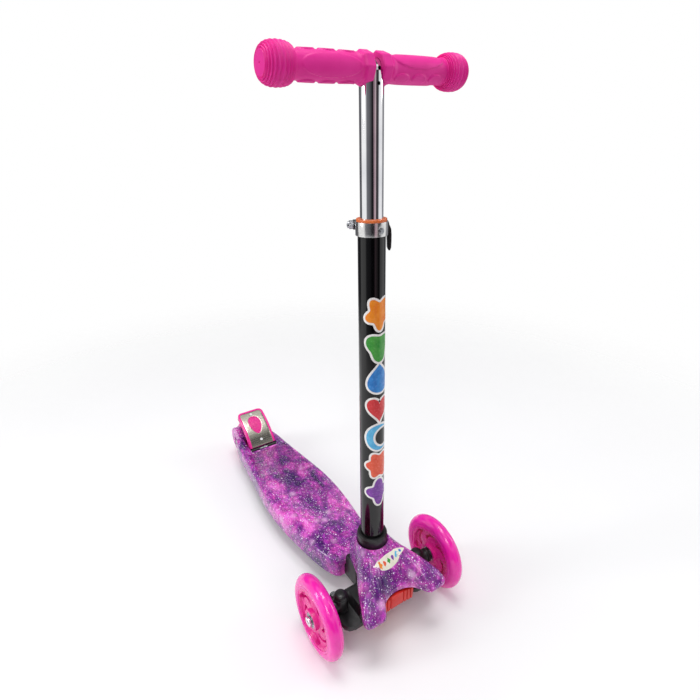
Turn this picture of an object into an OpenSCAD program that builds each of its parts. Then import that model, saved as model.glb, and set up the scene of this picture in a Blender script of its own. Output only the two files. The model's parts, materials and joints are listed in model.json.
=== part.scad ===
// Three-wheeled kick scooter for a small child. It steers by leaning.
// +X is the riding direction, +Y the rider's left, +Z up.
// The origin is on the ground under the middle of the scooter's outline.

/* [Overall] */
// Height of the handlebar's centre line above the ground
bar_height = 783; // [700:1:880]
// Width over the two grips
bar_width = 269; // [240:1:330]
// Distance from the front axle to the rear axle
wheel_base = 513; // [470:1:620]
// How far the front axle lies ahead of the stem
axle_ahead = 21; // [19:1:26]
// Distance between the middles of the two front wheels
track = 221; // [215:1:270]

/* [Front wheels] */
// Diameter of a front wheel
front_wheel_d = 120; // [106:1:145]
// Width of a front tyre
front_tyre_w = 22; // [18:1:26]
// Diameter of the seat between a front core and its tyre
front_core_d = 86; // [76:1:92]
// Length of a front hub
front_hub_w = 26; // [24:1:32]
// Number of openings in a front core
core_windows = 6; // [5:1:8]

/* [Rear wheel] */
// Diameter of the rear wheel
rear_wheel_d = 80; // [74:1:96]
// Width of the rear tyre
rear_tyre_w = 40; // [36:1:41]
// Diameter of the seat between the rear core and its tyre
rear_core_d = 54; // [44:1:60]

/* [Bearings and axles] */
// Outer diameter of a ball bearing
bearing_d = 22; // [19:1:24]
// Bore of a ball bearing
bearing_bore = 8; // [6:1:9]
// Width of a ball bearing
bearing_w = 7; // [5:1:8]

/* [Stem] */
// Outer diameter of the fixed lower tube
lower_tube_d = 35; // [33:0.5:38]
// Wall of the fixed lower tube
lower_tube_wall = 1.6; // [1.2:0.1:2]
// Outer diameter of the sliding upper tube
upper_tube_d = 28.6; // [26:0.2:29]
// Wall of the sliding upper tube
upper_tube_wall = 1.4; // [1:0.1:2.5]
// Height of the clamp's top face above the ground
clamp_top = 614.5; // [560:0.5:640]
// Length of the upper tube that stays inside the lower one
insertion = 184; // [150:1:220]

/* [Clamp] */
// Height of the clamp ring
clamp_h = 17; // [14:0.5:20]
// Wall of the clamp ring
clamp_wall = 2.6; // [2:0.2:4]
// Turn of the clamp about the stem, away from straight back
clamp_yaw = -27.5; // [-40:0.5:0]
// Length of the quick-release lever below its pivot
lever_len = 38; // [30:1:50]

/* [Handlebar] */
// Diameter of the crossbar
crossbar_d = 22; // [20:0.5:24]
// Diameter of a grip's body
grip_d = 31; // [28:0.5:36]
// Diameter of a grip's end knob
knob_d = 44.4; // [40:0.2:50]
// Gap between a grip and the middle of the bar
grip_gap = 5.5; // [4:0.5:12]

/* [Deck] */
// Height of the deck's top above the ground
deck_top = 62; // [58:1:72]
// Height of the deck's side from its lower rim to its top
deck_h = 33; // [28:1:36]
// Half of the deck's greatest width
deck_half_w = 66.5; // [58:0.5:80]
// Wall of the deck moulding
deck_wall = 3; // [2.5:0.1:4]
// Radius of the deck's upper edge
deck_round = 9; // [5:0.5:10]
// Thickness of each fork ear beside the rear wheel
ear_t = 12.5; // [9:0.5:16]

/* [Brake] */
// Width of the brake pedal
brake_w = 59; // [54:1:60]
// Thickness of the brake pedal
brake_t = 9; // [7:0.5:10]
// Thickness of the brake's steel plate
brake_plate_t = 1.2; // [0.8:0.1:2]

/* [Steering] */
// Height of the lean axis above the front axle
lean_above_axle = 14; // [13:0.5:18]
// Diameter of the lean pin
lean_pin_d = 10; // [8:0.5:11]
// Distance from the middle of the truck to a kingpin
kingpin_y = 72; // [70:1:78]
// Length of a steering arm
arm_len = 20; // [19:0.5:21]
// Diameter of a kingpin
kingpin_d = 8; // [6:0.5:9]

/* [Front cover] */
// Height of the cover's top above the front axle
cover_above_axle = 68; // [60:1:80]
// Wall of the front cover
cover_wall = 3; // [2.4:0.1:4]
// Height of the black collar on top of the cover
collar_h = 15; // [10:1:20]

/* [Hidden] */
$fn = 48;

// Clearances
fit_gap = 0.05;        // running fit of a pin or shaft, on the radius
seat_gap = 0.02;       // pressed or glued pieces, on the radius
part_gap = 0.3;        // loose neighbours
swing_gap = 0.4;       // faces that turn past each other

// Wheels
front_r = front_wheel_d / 2;
rear_r = rear_wheel_d / 2;
wheel_y = track / 2;
rear_axle_x = axle_ahead - wheel_base;
cover_reach = 70;
cover_tip_x = axle_ahead + cover_reach;
stem_x = (rear_r - rear_axle_x - cover_tip_x) / 2;
bearing_r = bearing_d / 2;
axle_r = bearing_bore / 2;

// Front end, from the front axle upwards
axle_z = front_r;
lean_z = axle_z + lean_above_axle;
lean_r = lean_pin_d / 2;
sleeve_r = lean_r + 5;
tray_top = axle_z - 9;
tray_bottom = axle_z - 17;
beam_back = axle_ahead - 11;
beam_front = axle_ahead + 23;
plate_z = lean_z + sleeve_r + 2;
plate_t = 6;
cover_top = axle_z + cover_above_axle;
cover_skirt = lean_z + 1;
kingpin_r = kingpin_d / 2;
rod_top = axle_z - 9;
rod_t = 6;
rod_x = axle_ahead - arm_len;
knuckle_bottom = tray_top + swing_gap;
knuckle_top = axle_z + 13.5;
boss_end = wheel_y - front_hub_w / 2 - 1;

// Stem
lower_r = lower_tube_d / 2;
upper_r = upper_tube_d / 2;
socket_r = lower_r + 3.5;
tube_foot = plate_z + plate_t + part_gap;
ring_r = lower_r + clamp_wall;
clamp_z = clamp_top - clamp_h / 2;
bush_lip = 3;
ear_x = ring_r + 6;
ear_half = 8;
slit_half = 1.2;
skewer_r = 2.5;
block_len = 12;
nut_len = 7;
cam_y = ear_half + 9;
cam_r = 8;
button_r = 3.5;
button_z = clamp_z - 1;
upper_foot = clamp_top - insertion;
crossbar_r = crossbar_d / 2;
crossbar_wall = 1.5;

// Grips
grip_len = bar_width / 2 - grip_gap;
knob_r = knob_d / 2;
knob_half = 16.8;
knob_disc_r = 12;
ridge_h = 0.45;
flange_r = 19;
flange_len = 12;

// Deck
deck_rim = deck_top - deck_h;
deck_inside = deck_top - deck_wall;
tail_x = rear_axle_x - 8;
solid_tail_x = rear_axle_x + 97;
nose_x = -46;
deck_run = nose_x - tail_x;
pocket_half = rear_tyre_w / 2 + 3.5;
ear_z = rear_r + 11;
ear_r = 27;
tongue_bottom = deck_rim + 4;
tongue_top = tongue_bottom + 16;
neck_half = 22;
base_front = -14;
bolt_r = 2.5;
bolt_places = [[-70, -13], [-70, 13], [-100, -13], [-100, 13]];

// Brake: an arc about brake_cx, brake_cz in the side view
pivot_x = rear_axle_x + 76;
pivot_z = rear_r + 15;
brake_cx = pivot_x - 109;
brake_cz = pivot_z - 72;
brake_r = 135;
brake_from = 36;
brake_to = 74.5;
brake_mid = (brake_from + brake_to) / 2;
barrel_r = 6.5;
brake_pin_r = 3;
pad_t = 8;

print_purple = "#a23fb0";
pink = "#ec2aa6";
core_pink = "#f2309a";
black = "#161616";
steel = "#c9ccd0";
chrome = "#e4e6e8";
orange = "#e8743a";
red = "#d92b20";

// ---- helpers ----

module at_stem() {
  translate([stem_x, 0, 0]) children();
}

module rod_x(r, x0, x1, y = 0, z = 0) {
  translate([x0, y, z]) rotate([0, 90, 0]) cylinder(r = r, h = x1 - x0);
}

module rod_y(r, y0, y1, x = 0, z = 0) {
  translate([x, y1, z]) rotate([90, 0, 0]) cylinder(r = r, h = y1 - y0);
}

module rod_z(r, z0, z1, x = 0, y = 0) {
  translate([x, y, z0]) cylinder(r = r, h = z1 - z0);
}

module block(x0, x1, y0, y1, z0, z1) {
  translate([x0, y0, z0]) cube([x1 - x0, y1 - y0, z1 - z0]);
}

module hex_z(r, z0, z1, x = 0, y = 0) {
  translate([x, y, z0]) cylinder(r = r, h = z1 - z0, $fn = 6);
}

module both_sides() {
  children();
  mirror([0, 1, 0]) children();
}

// A front view outline, extruded along X
module front_view(x0, x1) {
  translate([x0, 0, 0]) rotate([90, 0, 90]) linear_extrude(x1 - x0) children();
}

// A side view outline, extruded along Y
module side_view(y0, y1) {
  translate([0, y1, 0]) rotate([90, 0, 0]) linear_extrude(y1 - y0) children();
}

function mirrored(half) = concat(half, [for (i = [len(half) - 1:-1:0]) [half[i][0], -half[i][1]]]);

// A smooth curve through points, with steps pieces between two of them
function spline_at(a, b, c, d, t) =
  0.5 * (2 * b + (c - a) * t + (2 * a - 5 * b + 4 * c - d) * t * t + (3 * b - a - 3 * c + d) * t * t * t);

function smooth_curve(p, steps) = [
  for (i = [0:len(p) - 2], k = [0:steps - 1])
    spline_at(p[max(i - 1, 0)], p[i], p[i + 1], p[min(i + 2, len(p) - 1)], k / steps)
];

// A closed outline moved inwards by d along its own normals (anticlockwise outline)
function inset(p, d) = [
  for (i = [0:len(p) - 1])
    let (
      a = p[(i + len(p) - 1) % len(p)],
      b = p[(i + 1) % len(p)],
      run = (b - a) / norm(b - a)
    )
    p[i] + d * [-run[1], run[0]]
];

// A closed skin through rings that each have n points, lowest ring first
module ring_skin(points, n) {
  rings = len(points) / n;
  sides = [
    for (k = [0:rings - 2], i = [0:n - 1], half = [0, 1])
      let (a = k * n + i, b = k * n + (i + 1) % n)
      half == 0 ? [a, a + n, b] : [b, a + n, b + n]
  ];
  ends = [[for (i = [0:n - 1]) i], [for (i = [n - 1:-1:0]) (rings - 1) * n + i]];
  polyhedron(points = points, faces = concat(sides, ends), convexity = 6);
}

// A round wire wound about +Z from z0 up to z1
module coil(r, wire, turns, z0, z1) {
  steps = 12 * turns;
  n = 8;
  points = [
    for (k = [0:steps], i = [0:n - 1])
      let (
        a = 360 * k / 12,
        z = z0 + wire + (z1 - z0 - 2 * wire) * k / steps,
        out = r + wire * cos(360 * i / n)
      )
      [out * cos(a), out * sin(a), z + wire * sin(360 * i / n)]
  ];
  ring_skin(points, n);
}

// ---- deck ----

// Half widths of the deck, from the nose to the tail: [share of the run, share of the half width]
deck_stations = [
  [0, 0.46], [0.007, 0.54], [0.03, 0.63], [0.09, 0.76], [0.18, 0.86], [0.28, 0.95], [0.38, 1],
  [0.48, 0.99], [0.58, 0.925], [0.68, 0.845], [0.79, 0.765], [0.87, 0.72], [0.94, 0.62],
  [0.985, 0.48], [1, 0.34], [1, 0.2]
];

deck_half = smooth_curve([for (s = deck_stations) [nose_x - s[0] * deck_run, s[1] * deck_half_w]], 3);
deck_outline = mirrored(deck_half);

module deck_body() {
  edge = [for (a = [0:22.5:90]) [deck_round * (1 - cos(a)), deck_top - deck_round * (1 - sin(a))]];
  levels = concat([[0, deck_rim]], edge);
  points = [for (l = levels, p = inset(deck_outline, l[0])) [p[0], p[1], l[1]]];
  ring_skin(points, len(deck_outline));
}

module deck_ear_side() {
  translate([rear_axle_x + 5, ear_z]) circle(r = ear_r);
  polygon([
    [rear_axle_x + 5, ear_z - ear_r + 3],
    [rear_axle_x + 60, deck_rim],
    [rear_axle_x + 60, deck_top - 1],
    [rear_axle_x + 26, deck_top + 6]
  ]);
}

module deck_shell() {
  ribs = [-150, -190, -230, -270, -310, -350];
  color(print_purple) at_stem() difference() {
    union() {
      difference() {
        deck_body();
        translate([0, 0, deck_rim - 1]) linear_extrude(deck_inside - deck_rim + 1) intersection() {
          polygon(inset(deck_outline, deck_wall));
          translate([solid_tail_x, -200]) square([deck_run, 400]);
        }
        block(solid_tail_x - 200, solid_tail_x - 3, -90, 90, deck_top - 0.5, deck_top + 5);
      }
      both_sides() side_view(pocket_half, pocket_half + ear_t) deck_ear_side();
      for (x = ribs) block(x, x + 2.5, -46, 46, deck_rim + 6, deck_inside + 0.5);
      for (y = [-26, 26]) block(solid_tail_x - 1, -120, y - 1.25, y + 1.25, deck_rim + 6, deck_inside + 0.5);
      for (p = bolt_places) rod_z(6, tongue_top + part_gap, deck_inside + 0.5, p[0], p[1]);
    }
    // wheel pocket and the brake's recess ahead of it
    side_view(-pocket_half, pocket_half) pocket_side();
    block(rear_axle_x + 30, pivot_x + 12, -brake_w / 2 - 1.5, brake_w / 2 + 1.5, pivot_z - 11, 150);
    // axle, with a tall recess on the outside of each ear
    rod_y(axle_r + fit_gap, -90, 90, rear_axle_x, rear_r);
    both_sides() side_view(pocket_half + ear_t - 3, 90) axle_recess();
    rod_y(brake_pin_r + fit_gap, -brake_w / 2 - 9, brake_w / 2 + 9, pivot_x, pivot_z);
    // way in for the tongue of the front base
    block(-60, 0, -neck_half - part_gap, neck_half + part_gap, deck_rim - 1, tongue_top + part_gap);
    for (p = bolt_places) rod_z(bolt_r + seat_gap, deck_rim, deck_inside - 1.5, p[0], p[1]);
  }
}

module pocket_side() {
  wall_r = rear_r + 5;
  translate([rear_axle_x, rear_r]) circle(r = wall_r);
  translate([rear_axle_x - 60, -1]) square([63, 150]);
  translate([rear_axle_x, rear_r + 12]) square([wall_r + 1, 100]);
}

module axle_recess() {
  translate([rear_axle_x, rear_r - 1]) circle(r = 5);
  translate([rear_axle_x, rear_r + 9]) circle(r = 5);
  translate([rear_axle_x - 5, rear_r - 1]) square([10, 10]);
}

// ---- front base, between the deck and the stem ----

module base_side() {
  polygon([
    [-112, tongue_bottom], [-60, tongue_bottom], [-52, deck_rim], [base_front, deck_rim],
    [base_front, cover_skirt - 1.5], [-40, cover_skirt - 1.5], [-43, cover_skirt - 8],
    [-43, tongue_top], [-112, tongue_top]
  ]);
}

module front_base() {
  color(black) at_stem() difference() {
    union() {
      side_view(-neck_half, neck_half) base_side();
      block(-31, base_front, -14, 14, cover_skirt - 3, plate_z + plate_t);
      block(base_front - 1, beam_front + 8, -19, 19, plate_z, plate_z + plate_t);
      block(axle_ahead - 7, beam_front - 4, -33, 33, plate_z, plate_z + plate_t);
      rod_z(socket_r, plate_z, cover_top);
      block(beam_front + 1, beam_front + 8, -9, 9, lean_z - 9, plate_z + 1);
      // finger and drive pin that push the tie rod across
      block(base_front - 1, rod_x + 5, -7, 7, rod_top - rod_t - 10, rod_top - rod_t - 4);
      rod_z(2.8, rod_top - rod_t - 5, rod_top + 2, rod_x);
      for (y = [-24, 24]) rod_z(3.8, plate_z - 7, plate_z + 1, axle_ahead + 5, y);
    }
    rod_z(lower_r + fit_gap, plate_z + plate_t, cover_top + 1);
    rod_x(lean_r + seat_gap, -30, beam_front + 9, 0, lean_z);
    rod_y(2.5 + seat_gap, -socket_r - 1, socket_r + 1, 0, cover_top - 18);
    for (p = bolt_places) rod_z(bolt_r + fit_gap, deck_rim, tongue_top + 1, p[0], p[1]);
    for (s = [-1, 1]) rod_z(1.5 + seat_gap, plate_z - 1, plate_z + plate_t + 1, axle_ahead + 5, s * 13);
  }
}

module base_bolts() {
  color(steel) at_stem() for (p = bolt_places) {
    rod_z(bolt_r, tongue_bottom - 1, deck_inside - 2, p[0], p[1]);
    rod_z(4.5, tongue_bottom - 3, tongue_bottom - part_gap, p[0], p[1]);
  }
}

module lean_pin() {
  color(steel) at_stem() rod_x(lean_r, -29, beam_front + 8, 0, lean_z);
}

// ---- front cover ----

// Plan outline of the cover, from its back to the notch at its front:
// [distance ahead of the front axle, half width, how far the upper edge lies below the top]
cover_stations = [
  [-62, 7, 30], [-59, 16, 30], [-51, 22, 29], [-35, 26, 27], [-17, 32, 24], [1, 43, 28], [21, 54, 33],
  [41, 64, 36], [57, 71, 40], [66, 71, 43], [69.5, 66, 45], [70, 54, 46], [70, 43, 47],
  [65, 37, 47], [55, 31, 46], [47, 24, 45], [42, 14, 44], [40, 5, 43]
];
cover_half = [
  for (p = smooth_curve(cover_stations, 2)) [axle_ahead + min(p[0], cover_reach), p[1], p[2]]
];
cover_ring = concat(
  cover_half,
  [for (i = [len(cover_half) - 1:-1:0]) [cover_half[i][0], -cover_half[i][1], cover_half[i][2]]]
);
cover_plan = [for (p = cover_ring) [p[0], p[1]]];

// Rings of the cover's skin between the stem hole and the skirt. t is 0 at the top and 1 at the edge.
function cover_level(t, d) =
  let (
    plan = inset(cover_plan, -d),
    n = len(plan)
  )
  [for (i = [0:n - 1])
    let (
      turn = atan2(plan[i][1], plan[i][0]),
      ring = (socket_r + 3 * part_gap + cover_wall - d) * [cos(turn), sin(turn)],
      spread = pow(t, 0.8),
      fall = pow(t, 1.25) * 0.72 + 0.28 * t,
      at = ring * (1 - spread) + plan[i] * spread
    )
    [at[0], at[1], cover_top - d - fall * cover_ring[i][2]]
  ];

function cover_skirt_ring(d) = [for (p = inset(cover_plan, -d)) [p[0], p[1], cover_skirt]];

module front_cover() {
  outer = [for (t = [1, 0.96, 0.85, 0.7, 0.55, 0.4, 0.25, 0.1, 0]) each cover_level(t, t == 1 ? 0.4 : 0)];
  inner = [for (t = [0, 0.1, 0.25, 0.4, 0.55, 0.7, 0.85, 1]) each cover_level(t, cover_wall)];
  n = len(cover_ring);
  skin = concat(cover_skirt_ring(cover_wall), cover_skirt_ring(0), outer, inner);
  rings = len(skin) / n;
  faces = [
    for (k = [0:rings - 1], i = [0:n - 1], half = [0, 1])
      let (
        a = k * n + i,
        b = k * n + (i + 1) % n,
        c = ((k + 1) % rings) * n + i,
        d = ((k + 1) % rings) * n + (i + 1) % n
      )
      half == 0 ? [a, c, b] : [b, c, d]
  ];
  color(print_purple) at_stem() polyhedron(points = skin, faces = faces, convexity = 8);
}

module cover_screws() {
  color(steel) at_stem() for (s = [-1, 1]) {
    rod_z(1.5, plate_z - 1, plate_z + plate_t + 2, axle_ahead + 5, s * 13);
    rod_z(3.2, plate_z - 3, plate_z - part_gap, axle_ahead + 5, s * 13);
  }
}

// ---- stem ----

module stem_collar() {
  color(black) at_stem() difference() {
    union() {
      rod_z(22.7, cover_top + seat_gap, cover_top + collar_h - 2);
      rod_z(21.9, cover_top + seat_gap, cover_top + collar_h);
    }
    rod_z(lower_r + seat_gap, cover_top - 1, cover_top + collar_h + 1);
  }
}

module lower_tube() {
  color(black) at_stem() difference() {
    rod_z(lower_r, tube_foot, clamp_top - part_gap);
    rod_z(lower_r - lower_tube_wall, tube_foot - 1, clamp_top + 1);
    rod_y(2.5 + seat_gap, -lower_r - 1, lower_r + 1, 0, cover_top - 18);
    rod_x(button_r + 0.1, 0, lower_r + 1, 0, button_z);
    rotate([0, 0, clamp_yaw]) block(-lower_r - 1, 0, -1, 1, clamp_top - 30, clamp_top + 1);
  }
}

module stem_bolt() {
  color(steel) at_stem() {
    rod_y(2.5, -socket_r - 2, socket_r + 2, 0, cover_top - 18);
  }
}

module clamp_ring() {
  color(steel) at_stem() rotate([0, 0, clamp_yaw]) difference() {
    union() {
      rod_z(ring_r, clamp_top - clamp_h, clamp_top);
      block(-ear_x - 3.5, -lower_r + 2, -ear_half, ear_half, clamp_top - clamp_h, clamp_top);
      rod_z(3.5, clamp_top - clamp_h, clamp_top, -ear_x - 3.5, -ear_half + 3.5);
      rod_z(3.5, clamp_top - clamp_h, clamp_top, -ear_x - 3.5, ear_half - 3.5);
    }
    rod_z(lower_r + seat_gap, clamp_top - clamp_h - 1, clamp_top + 1);
    block(-ear_x - 20, 0, -slit_half, slit_half, clamp_top - clamp_h - 1, clamp_top + 1);
    rod_y(skewer_r + fit_gap, -ear_half - 1, ear_half + 1, -ear_x, clamp_z);
    rotate([0, 0, -clamp_yaw]) rod_x(button_r + 0.1, 0, ring_r + 5, 0, button_z);
  }
}

module clamp_bush() {
  wall_r = lower_r - lower_tube_wall;
  color(orange) at_stem() difference() {
    union() {
      rod_z(wall_r - seat_gap, clamp_top - 24, clamp_top + 1);
      rod_z(lower_r + 1.5, clamp_top + seat_gap, clamp_top + bush_lip);
    }
    rod_z(upper_r + fit_gap, clamp_top - 25, clamp_top + bush_lip + 1);
    rod_x(button_r + 0.3, 0, lower_r + 5, 0, button_z);
    rotate([0, 0, clamp_yaw]) block(-lower_r - 5, 0, -1, 1, clamp_top - 25, clamp_top + bush_lip + 1);
  }
}

module skewer() {
  color(steel) at_stem() rotate([0, 0, clamp_yaw])
    rod_y(skewer_r, -ear_half - block_len - nut_len - 1, cam_y - 4, -ear_x, clamp_z);
}

module clamp_block() {
  color(black) at_stem() rotate([0, 0, clamp_yaw]) difference() {
    union() {
      block(-ear_x - 6, -ear_x + 5, -ear_half - 5, -ear_half - seat_gap, clamp_z - 8, clamp_z + 8);
      rod_y(6.5, -ear_half - block_len, -ear_half - 4, -ear_x, clamp_z);
    }
    rod_y(skewer_r + fit_gap, -ear_half - block_len - 1, -ear_half + 1, -ear_x, clamp_z);
  }
}

module skewer_nut() {
  color(steel) at_stem() rotate([0, 0, clamp_yaw]) difference() {
    translate([-ear_x, -ear_half - block_len - part_gap, clamp_z]) rotate([90, 0, 0]) {
      cylinder(r = 5.8, h = nut_len - 2, $fn = 6);
      cylinder(r = 4.2, h = nut_len);
    }
    rod_y(skewer_r + seat_gap, -60, 0, -ear_x, clamp_z);
  }
}

// Cam end of the skewer, and the pin that the lever turns on
module cam_pin() {
  color(steel) at_stem() rotate([0, 0, clamp_yaw]) {
    rod_x(2, -ear_x - 7, -ear_x + 7, cam_y, clamp_z);
    difference() {
      rod_y(4, cam_y - 4 + seat_gap, cam_y + 4, -ear_x, clamp_z);
      rod_x(2 + seat_gap, -ear_x - 5, -ear_x + 5, cam_y, clamp_z);
    }
  }
}

module quick_lever() {
  color(black) at_stem() rotate([0, 0, clamp_yaw]) difference() {
    union() {
      rod_x(cam_r, -ear_x - 8, -ear_x + 8, cam_y, clamp_z);
      translate([-ear_x - 5, cam_y - 1, clamp_z - lever_len]) cube([10, 5, lever_len]);
      rod_y(5, cam_y - 1, cam_y + 4, -ear_x, clamp_z - lever_len);
    }
    rod_x(2 + fit_gap, -ear_x - 9, -ear_x + 9, cam_y, clamp_z);
    // room for the skewer's end while the lever swings up
    rod_x(cam_r + 1, -ear_x - 4.5, -ear_x + 4.5, cam_y, clamp_z);
    block(-ear_x - 4.5, -ear_x + 4.5, cam_y - 12, cam_y - cam_r + 1, clamp_z - 12, clamp_z + 12);
  }
}

module snap_button() {
  color(steel) at_stem() {
    rod_x(button_r, lower_r - 0.3, ring_r + 1, 0, button_z);
    rod_x(2.6, ring_r + 0.5, ring_r + 1.8, 0, button_z);
    rod_x(1.6, lower_r - 0.8, lower_r, 0, button_z);
  }
}

module button_spring() {
  color(steel) at_stem() translate([0, 0, button_z]) rotate([0, 90, 0])
    coil(2.5, 0.2, 2, upper_r + 0.5, lower_r - 0.4);
}

// ---- handlebar ----

module upper_tube() {
  color(chrome) at_stem() difference() {
    rod_z(upper_r, upper_foot, bar_height);
    rod_z(upper_r - upper_tube_wall, upper_foot - 1, bar_height + 1);
    rod_y(crossbar_r + seat_gap, -40, 40, 0, bar_height);
    block(-20, 20, -20, 20, bar_height - 3, bar_height + 20);
    rod_x(2, 0, 20, 0, bar_height - crossbar_r - 5);
  }
}

module slide_bush() {
  color("#3a3a3a") at_stem() difference() {
    rod_z(lower_r - lower_tube_wall - 0.08, upper_foot - 14, upper_foot + 6);
    rod_z(upper_r + seat_gap, upper_foot - seat_gap, upper_foot + 7);
    rod_z(upper_r - upper_tube_wall, upper_foot - 15, upper_foot + 7);
  }
}

module crossbar() {
  end = bar_width / 2 - 11;
  color(chrome) at_stem() difference() {
    rod_y(crossbar_r, -end, end, 0, bar_height);
    rod_y(crossbar_r - crossbar_wall, -end - 1, end + 1, 0, bar_height);
    rod_x(2, 0, crossbar_r + 1, 3, bar_height);
  }
}

// Radius of the ridged knob. s runs from -1 at its inner end to 1 at its flat outer end.
function knob_at(s) = s > 0
  ? knob_disc_r + (knob_r - knob_disc_r) * pow(1 - pow(s, 2.4), 0.5)
  : grip_d / 2 + (knob_r - grip_d / 2) * pow(1 - pow(-s, 2.4), 0.5);

module grip() {
  knob_mid = grip_len - knob_half;
  ridges = 14;
  knob = [
    for (i = [0:ridges - 1], part = [0, 0.5])
      let (
        s = -0.98 + 1.96 * (i + part) / (ridges - 0.5),
        r = knob_at(s) - (part == 0 ? 0 : ridge_h)
      )
      each [[r, knob_mid + s * knob_half]]
  ];
  body = [
    [crossbar_r + 1, 0], [16, 0], [16, flange_len], [18, flange_len], [grip_d / 2 - 0.6, flange_len + 10],
    [grip_d / 2, flange_len + 22], [grip_d / 2 + 0.6, flange_len + 42],
    [grip_d / 2, flange_len + 62], [grip_d / 2 - 0.4, knob_mid - knob_half - 2]
  ];
  difference() {
    union() {
      rotate_extrude($fn = 96) polygon(concat([[0, 0]], body, knob, [[knob_disc_r - 1, grip_len], [0, grip_len]]));
      cylinder(r = flange_r, h = flange_len, $fn = 8);
      cylinder(r1 = 18, r2 = 17, h = flange_len + 2);
    }
    translate([0, 0, -1]) cylinder(r = crossbar_r + seat_gap, h = grip_len - 10);
    translate([0, 0, grip_len - 1.5]) cylinder(r = 1.2, h = 3);
  }
}

// The saddle that the upper tube's top cuts into both grips
module tube_saddle() {
  rod_z(upper_r + part_gap, bar_height - 30, bar_height - 2);
}

module grip_left() {
  color(pink) at_stem() difference() {
    translate([0, grip_gap, bar_height]) rotate([-90, 0, 0]) grip();
    tube_saddle();
  }
}

module grip_right() {
  color(pink) at_stem() difference() {
    translate([0, -grip_gap, bar_height]) rotate([90, 0, 0]) grip();
    tube_saddle();
  }
}

// ---- truck ----

module beam_plan() {
  near = beam_back;
  far = beam_front + 14;
  half = [
    [near, 0], [near, 34], [near + 0.5, kingpin_y - 10], [near + 3, kingpin_y + 8], [near + 8, kingpin_y + 12],
    [far - 10, kingpin_y + 12], [far - 3, kingpin_y + 7], [far, kingpin_y - 2], [far, 44], [far - 2, 38],
    [beam_front - 1, 35.8], [beam_front - 1, 0]
  ];
  polygon([for (p = half) p]);
}

module beam_front_view() {
  half = [
    [0, tray_top + 1], [34, tray_top + 1], [36, tray_bottom + 3], [50, tray_bottom + 1], [kingpin_y + 12, tray_bottom],
    [kingpin_y + 12, tray_top], [58, tray_top], [52, tray_top + 11], [36, tray_top + 13], [9, lean_z - 5],
    [0, lean_z - 5]
  ];
  polygon(half);
}

module truck_beam() {
  color(black) at_stem() difference() {
    union() {
      both_sides() intersection() {
        translate([0, 0, tray_bottom - 5]) linear_extrude(60) beam_plan();
        front_view(beam_back, beam_front + 14) beam_front_view();
      }
      rod_x(sleeve_r, beam_back, beam_front, 0, lean_z);
    }
    rod_x(lean_r + fit_gap, beam_back - 1, beam_front + 1, 0, lean_z);
    for (y = [-24, 24]) rod_z(8.3, tray_top + 4, lean_z, axle_ahead + 5, y);
    for (s = [-1, 1]) rod_z(kingpin_r + seat_gap, tray_bottom - 1, tray_top + 1, axle_ahead, s * kingpin_y);
    for (x = [axle_ahead - 4, axle_ahead + 16]) rod_z(2 + seat_gap, tray_bottom, tray_top + 10, x, 0);
    // the upper side drops ahead of the knuckles
    both_sides() block(beam_front + 4, beam_front + 20, 34, 70, tray_top + 1, lean_z);
  }
}

module fascia_front_view() {
  half = [
    [0, tray_top], [14, tray_top - 0.5], [28, tray_top - 2], [35.5, tray_top - 4],
    [35.5, lean_z - 8], [20, lean_z - 4], [0, lean_z - 1]
  ];
  polygon(concat(half, [for (i = [len(half) - 2:-1:1]) [-half[i][0], half[i][1]]]));
}

module spring_housing() {
  front = beam_front + 20;
  color(red) at_stem() difference() {
    union() {
      front_view(beam_front + part_gap, front) fascia_front_view();
      block(beam_back, beam_front + 2, -33.5, 33.5, tray_top - 3.5, tray_top + 1 - part_gap);
    }
    // pocket behind the face for the base's front lug
    block(beam_front - 1, front - 4, -14, 14, tray_top + 8, lean_z + 5);
    both_sides() block(beam_front - 1, front - 4, 17, 32.5, tray_top + 3, lean_z + 5);
    // upright grooves in the face, and its bevelled sides
    for (y = [12, 18.5, 25], s = [-1, 1]) block(front - 2, front + 1, s * y - 0.8, s * y + 0.8, 0, 200);
    both_sides() translate([front, 28, 0]) rotate([0, 0, 38]) block(0, 20, -20, 20, 0, 200);
    for (x = [axle_ahead - 4, axle_ahead + 16]) rod_z(2 + fit_gap, 0, tray_top + 5, x, 0);
  }
}

module housing_screws() {
  color(steel) at_stem() for (x = [axle_ahead - 4, axle_ahead + 16]) {
    rod_z(2, tray_top - 5, tray_top + 8, x, 0);
    rod_z(3.6, tray_top - 6, tray_top - 3.5 - seat_gap, x, 0);
  }
}

module return_springs() {
  color(steel) at_stem() for (y = [-24, 24])
    translate([axle_ahead + 5, y, 0]) coil(6, 0.9, 6, tray_top + 4.02, plate_z - 0.02);
}

module kingpins() {
  color(steel) at_stem() for (s = [-1, 1]) {
    rod_z(kingpin_r, tray_bottom - 1, knuckle_top + 5, axle_ahead, s * kingpin_y);
    rod_z(kingpin_r + 2.8, tray_bottom - 4, tray_bottom - seat_gap, axle_ahead, s * kingpin_y);
  }
}

module kingpin_nuts() {
  color(black) at_stem() for (s = [-1, 1]) difference() {
    hex_z(kingpin_r + 3.2, knuckle_top + part_gap, knuckle_top + 5.5, axle_ahead, s * kingpin_y);
    rod_z(kingpin_r + seat_gap, 0, 200, axle_ahead, s * kingpin_y);
  }
}

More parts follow.
